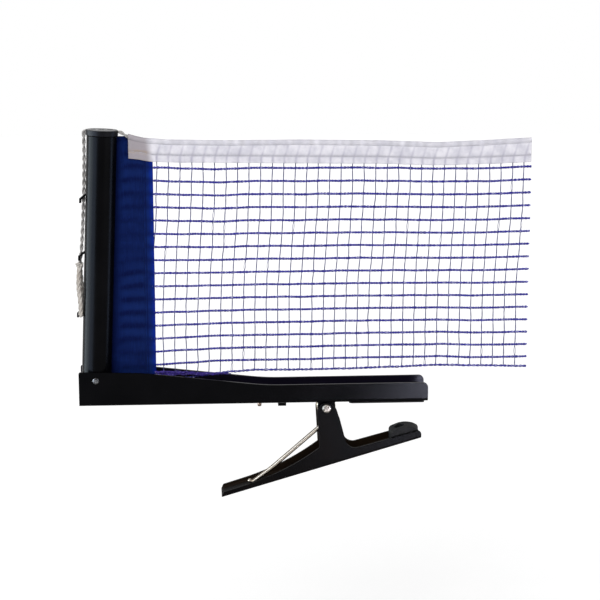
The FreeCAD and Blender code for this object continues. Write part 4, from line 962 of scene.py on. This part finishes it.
def tape_profile(x):
    """The tape's outer line at a place, from the front edge over the cord to the back edge: Y and Z."""
    low = tape_low(x) + 0.25 * wobble(x * 0.12, 0.0, 3.0)
    centre = cord_height(x) + 0.12 * wobble(x * 0.25, 2.0, 0.0)
    stitch = low + STITCH_HEIGHT
    neck = centre - 1.6
    rows = 22
    front = []
    for i in range(rows + 1):
        z = low + (neck - low) * i / rows
        pinch = 0.28 * exp(-((z - stitch) / 0.7) ** 2)
        swell = 0.1 * sin(pi * min(1, max(0, (z - stitch) / (neck - stitch))))
        front.append((-(TAPE_HALF + swell - pinch), z))
    steps = 14
    over = []
    for i in range(steps + 1):
        angle = radians(-152 + 300 * i / steps)
        over.append((TUNNEL_RADIUS * sin(angle), centre + TUNNEL_RADIUS * cos(angle)))
    back = [(-y, z) for y, z in reversed(front)]
    return front + over + back


def strand_behind(x, above, first):
    """How near a vertical of the netting lies behind the tape, from 0 to 1."""
    base = x - 0.3 * max(0.0, above - 3)
    nearest = (base - first) / COLUMN_PITCH
    across = (nearest - round(nearest)) * COLUMN_PITCH
    return exp(-(across / 0.6) ** 2)


def make_tape():
    left, right = (corner.x for corner in box_of("net_tape"))
    columns = 420
    rows = len(tape_profile(left)) - 1
    vertices = []
    marks = {"behind": [], "over_navy": [], "grime": [], "sewn": [], "tunnel": []}
    for i in range(columns + 1):
        x = left + (right - left) * i / columns
        low = tape_low(x)
        centre = cord_height(x)
        first = column_place(0, low)
        for y, z in tape_profile(x):
            above = z - low
            strand = 0.0
            if z < centre - 1.5:
                if x > NETTING_LEFT - 1:
                    strand = strand_behind(x, above, first)
                pucker = 0.12 * wobble(x * 0.5, above * 0.25, 2.0) * smooth(above, 0, 1.5)
                y += (-1 if y < 0 else 1) * (0.1 * strand + pucker)
            vertices.append(Vector((x, y, z)))
            faded = 0.85 - 0.35 * smooth(above, 3, 8)
            uneven = min(1.0, 0.5 + 0.6 * abs(wobble(x * 0.21, above * 0.2, 11.0)))
            navy = 1 - smooth(x + 0.12 * above, -140.5, -135.5)
            # Painted shade over the top of the wrap round the cord.
            over_cord = (0.35 + 0.5 * wobble(x * 0.3, 4.0, 7.0)) * smooth(z - centre, -1.8, -0.6)
            marks["behind"].append(strand * faded * uneven)
            marks["over_navy"].append(navy)
            marks["grime"].append(navy * exp(-((above - STITCH_HEIGHT - 0.4) / 1.0) ** 2))
            # Painted shade along the stitch line, weaker over the sleeve.
            marks["sewn"].append((1 - 0.7 * navy) * exp(-((above - STITCH_HEIGHT) / 0.75) ** 2))
            marks["tunnel"].append((1 - 0.6 * navy) * over_cord)
    faces = [(a, d, c, b) for a, b, c, d in grid_faces(columns, rows)]
    tape = new_piece("tape_band", vertices, faces, tape_fabric(), "white_tape", marks)
    give_thickness(tape, 0.35, -1)
    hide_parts("net_tape")
    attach(tape, "frame")
    make_tape_stitches(left, right)


def make_tape_stitches(left, right):
    shell = ([], [])
    pitch = 2.3
    margin = 1.5
    count = int((right - left - 2 * margin) / pitch)
    for i in range(count):
        x = left + margin + pitch * i
        z = tape_low(x) + STITCH_HEIGHT
        for side in (-1, 1):
            points = [
                Vector((x + pitch * share, side * (0.98 + lift), z + 0.1 * wobble(x, share, 0.0)))
                for share, lift in ((0.02, -0.1), (0.14, 0.05), (0.84, 0.05), (0.96, -0.1))
            ]
            sweep(shell, points, 0.17, 6)
    stitches = new_piece("tape_stitches", *shell, thread(), "white_tape")
    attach(stitches, "frame")
    return stitches


def post_edge(z, across):
    """X at a height of a line that runs up the post, so far from its axis."""
    start = POST @ Vector((across, 0, 0))
    return start.x + (z - start.z) * tan(POST_LEAN)


def make_sleeve():
    """Two plies of cloth from the post's slot to the binding, and the hem round the rod inside the tube."""
    low, high = box_of("net_sleeve")
    top = high.z + 0.5
    tape_left = box_of("net_tape")[0].x
    columns, rows = 34, 230
    vertices = []
    faces = []
    marks = {"fold": [], "painted_post_shadow": []}
    for side in (-1, 1):
        start = len(vertices)
        for i in range(columns + 1):
            share = i / columns
            for k in range(rows + 1):
                z = low.z + (top - low.z) * k / rows
                left = post_edge(z, SLEEVE_START)
                x = left + (high.x - left) * share
                limit = cord_height(x) - 2.6 if x > tape_left - 0.1 else top
                y = side * PLY_OUT + sleeve_wrinkle(x, z, share)
                if x < tape_left:
                    y += 1.6 * smooth(z, high.z - 3, high.z - 1) * smooth(share, 0.02, 0.15)
                vertices.append(Vector((x, y, min(z, limit))))
                # The fold mark is painted light: shade in the valleys, highlight on the crests.
                marks["fold"].append(painted_fold_light(x, z, share))
                # Painted shadow of the post, strongest right beside it.
                marks["painted_post_shadow"].append(0.8 * (1 - smooth(share, 0.02, 0.3)))
        for quad in grid_faces(columns, rows, start):
            low_left, low_right, top_right, top_left = (vertices[corner].z for corner in quad)
            if low_left < top_left - 1e-6 or low_right < top_right - 1e-6:
                faces.append(quad if side < 0 else quad[::-1])
    outside = len(vertices)
    add_hem(vertices, faces)
    inside = len(vertices) - outside
    marks["fold"] += [0.5] * inside
    marks["painted_post_shadow"] += [0.0] * inside
    sleeve = new_piece("sleeve_cloth", vertices, faces, sleeve_fabric(), "navy_cloth", marks)
    give_thickness(sleeve, 0.4, 0)
    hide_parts("net_sleeve")
    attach(sleeve, "frame")


def sleeve_ridge(x, z):
    """-1 in a furrow along one of the netting's rows, arched between post and binding, and 1 between two."""
    arch = 0.9 - 0.011 * (x + 147) ** 2
    share = min(1.0, max(0.0, (FIRST_ROW - z) / NETTING_DROP))
    drift = 0.9 * wobble(x * 0.08, z * 0.04, 3.0)
    level = FIRST_ROW + 0.9 * (1 - share) - 2.1 * share ** 2 + arch + drift
    half = ROW_PITCH / 2
    away = (z - level + half) % ROW_PITCH - half
    return 1 - 2 * exp(-(away / 1.7) ** 2)


def painted_fold_light(x, z, share):
    """How far the cloth's painted light lies between a valley's shade and a crest's highlight, from 0 to 1.
    """
    free = smooth(share, 0.12, 0.4) * (1 - smooth(share, 0.8, 1.0))
    strength = 0.3 + 0.75 * smooth(wobble(x * 0.05, z * 0.045, 8.0), -0.3, 0.4)
    return 0.45 + 0.55 * free * strength * sleeve_ridge(x, z)


def sleeve_wrinkle(x, z, share):
    """How far the sleeve bulges to the front or back."""
    free = smooth(share, 0.12, 0.35) * (1 - smooth(share, 0.82, 1.0))
    near_tape = 1 - 0.75 * smooth(z, 141, 146) * smooth(x, -152, -148)
    ridges = 0.3 * sleeve_ridge(x, z)
    slow = 0.5 * wobble(x * 0.035, z * 0.05, 1.0)
    fine = 0.22 * wobble(x * 0.10, z * 0.21, 6.0)
    slant = 0.55 * smooth(z, 118, 140) * wobble((x + 0.45 * z) * 0.19, (z - 0.45 * x) * 0.035, 12.0)
    return free * near_tape * (ridges * (0.7 + 0.6 * wobble(x * 0.06, z * 0.04, 8.0)) + slow + fine + slant)


def add_hem(vertices, faces):
    """The sleeve's hem round its rod, in the post's frame."""
    centre, reach = 4.05, 2.85
    low, high = 8.4, 136.5
    neck = 7.6
    steps = 24
    outline = [(neck, PLY_OUT)]
    for i in range(steps + 1):
        angle = radians(6 + 348 * i / steps)
        outline.append((centre + reach * cos(angle), reach * sin(angle)))
    outline.append((neck, -PLY_OUT))
    start = len(vertices)
    rows = 12
    for x, y in outline:
        for k in range(rows + 1):
            vertices.append(POST @ Vector((x, y, low + (high - low) * k / rows)))
    faces.extend(grid_faces(len(outline) - 1, rows, start))


def make_binding():
    """The band sewn over the sleeve's edge and the netting's, with its seam."""
    low, high = box_of("sleeve_binding")
    columns, rows = 16, 150
    half_thick = 0.74
    under_tape = 1.2
    vertices = []
    faces = []
    marks = {"seam": [], "outward": [], "furrow": []}
    for side in (-1, 1):
        start = len(vertices)
        for i in range(columns + 1):
            share = i / columns
            x = low.x + (high.x - low.x) * share
            top = tape_low(x) + under_tape
            seam = exp(-((share - 0.16) / 0.09) ** 2)
            crown = 0.12 * sin(pi * smooth(share, 0.2, 1.0))
            for k in range(rows + 1):
                z = low.z + (top - low.z) * k / rows
                # Furrows along the netting's rows: they sink the band and carry its painted shade.
                furrow = 0.5 - 0.5 * sleeve_ridge(x, z)
                rib = 0.08 * wobble(x * 0.2, z * 0.18, 2.0) - 0.06 * furrow
                shift = 0.12 * wobble(z * 0.07, share * 2, 9.0)
                vertices.append(Vector((x + shift, side * (half_thick + crown + rib - 0.1 * seam), z)))
                marks["seam"].append(seam)
                # Painted highlight towards the fold.
                marks["outward"].append(share)
                marks["furrow"].append(furrow)
        faces += [quad if side < 0 else quad[::-1] for quad in grid_faces(columns, rows, start)]
    band = new_piece("binding_band", vertices, faces, binding_fabric(), "blue_binding", marks)
    give_thickness(band, 0.3, -1)
    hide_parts("sleeve_binding")
    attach(band, "frame")


# CAD nodes


def dress(names, look):
    for name in names:
        slots = frame["nodes"][name].data.materials
        slots.clear()
        slots.append(look)


def dress_nodes():
    """Give the nodes that stay their finishes."""
    dark, pale = (0.0008, 0.0007, 0.001, 1), (0.0019, 0.0017, 0.0022, 1)
    # Painted sheen: a faint bluish sheen on the inner faces of the arm's far wall.
    painted_sheen = (0.006, 0.005, 0.011, 1)
    arm_coat = powder_coat("powder_coat", dark, pale, painted_sheen, box_of("arm_channel")[1].y)
    dress(["arm_channel", "hinge_bracket"], arm_coat)
    dress(["post_tube"], powder_coat("post_coat", dark, pale))
    dark, pale = (0.0011, 0.0009, 0.0009, 1), (0.0034, 0.0023, 0.0019, 1)
    brown = (0.011, 0.0065, 0.0035, 1)
    dress(["lever"], powder_coat("rubbed_coat", dark, pale, brown, box_of("lever")[1].y, rough=0.25))
    dress(["arm_pad", "jaw_pad"], rubber())
    dress(["post_cap", "post_insert", "sleeve_rod"], plastic())
    dull, bright = (0.06, 0.053, 0.044, 1), (0.215, 0.2, 0.172, 1)
    satin = plated("satin_nickel", PIVOT, 2.8, dull, bright)
    dress(["pivot_rivet", "pivot_spacer", "jaw_pad_rivet"], satin)
    dull, bright = (0.02, 0.02, 0.022, 1), (0.15, 0.15, 0.15, 1)
    dress(["post_rivet"], plated("worn_nickel", middle_of("post_rivet"), 1.95, dull, bright))


def main():
    add_camera()
    add_world()
    add_floor()
    add_lamps()
    make_cord()
    make_spring()
    make_netting()
    make_tape()
    make_sleeve()
    make_binding()
    dress_nodes()
    bpy.context.scene.view_settings.view_transform = "Standard"


main()
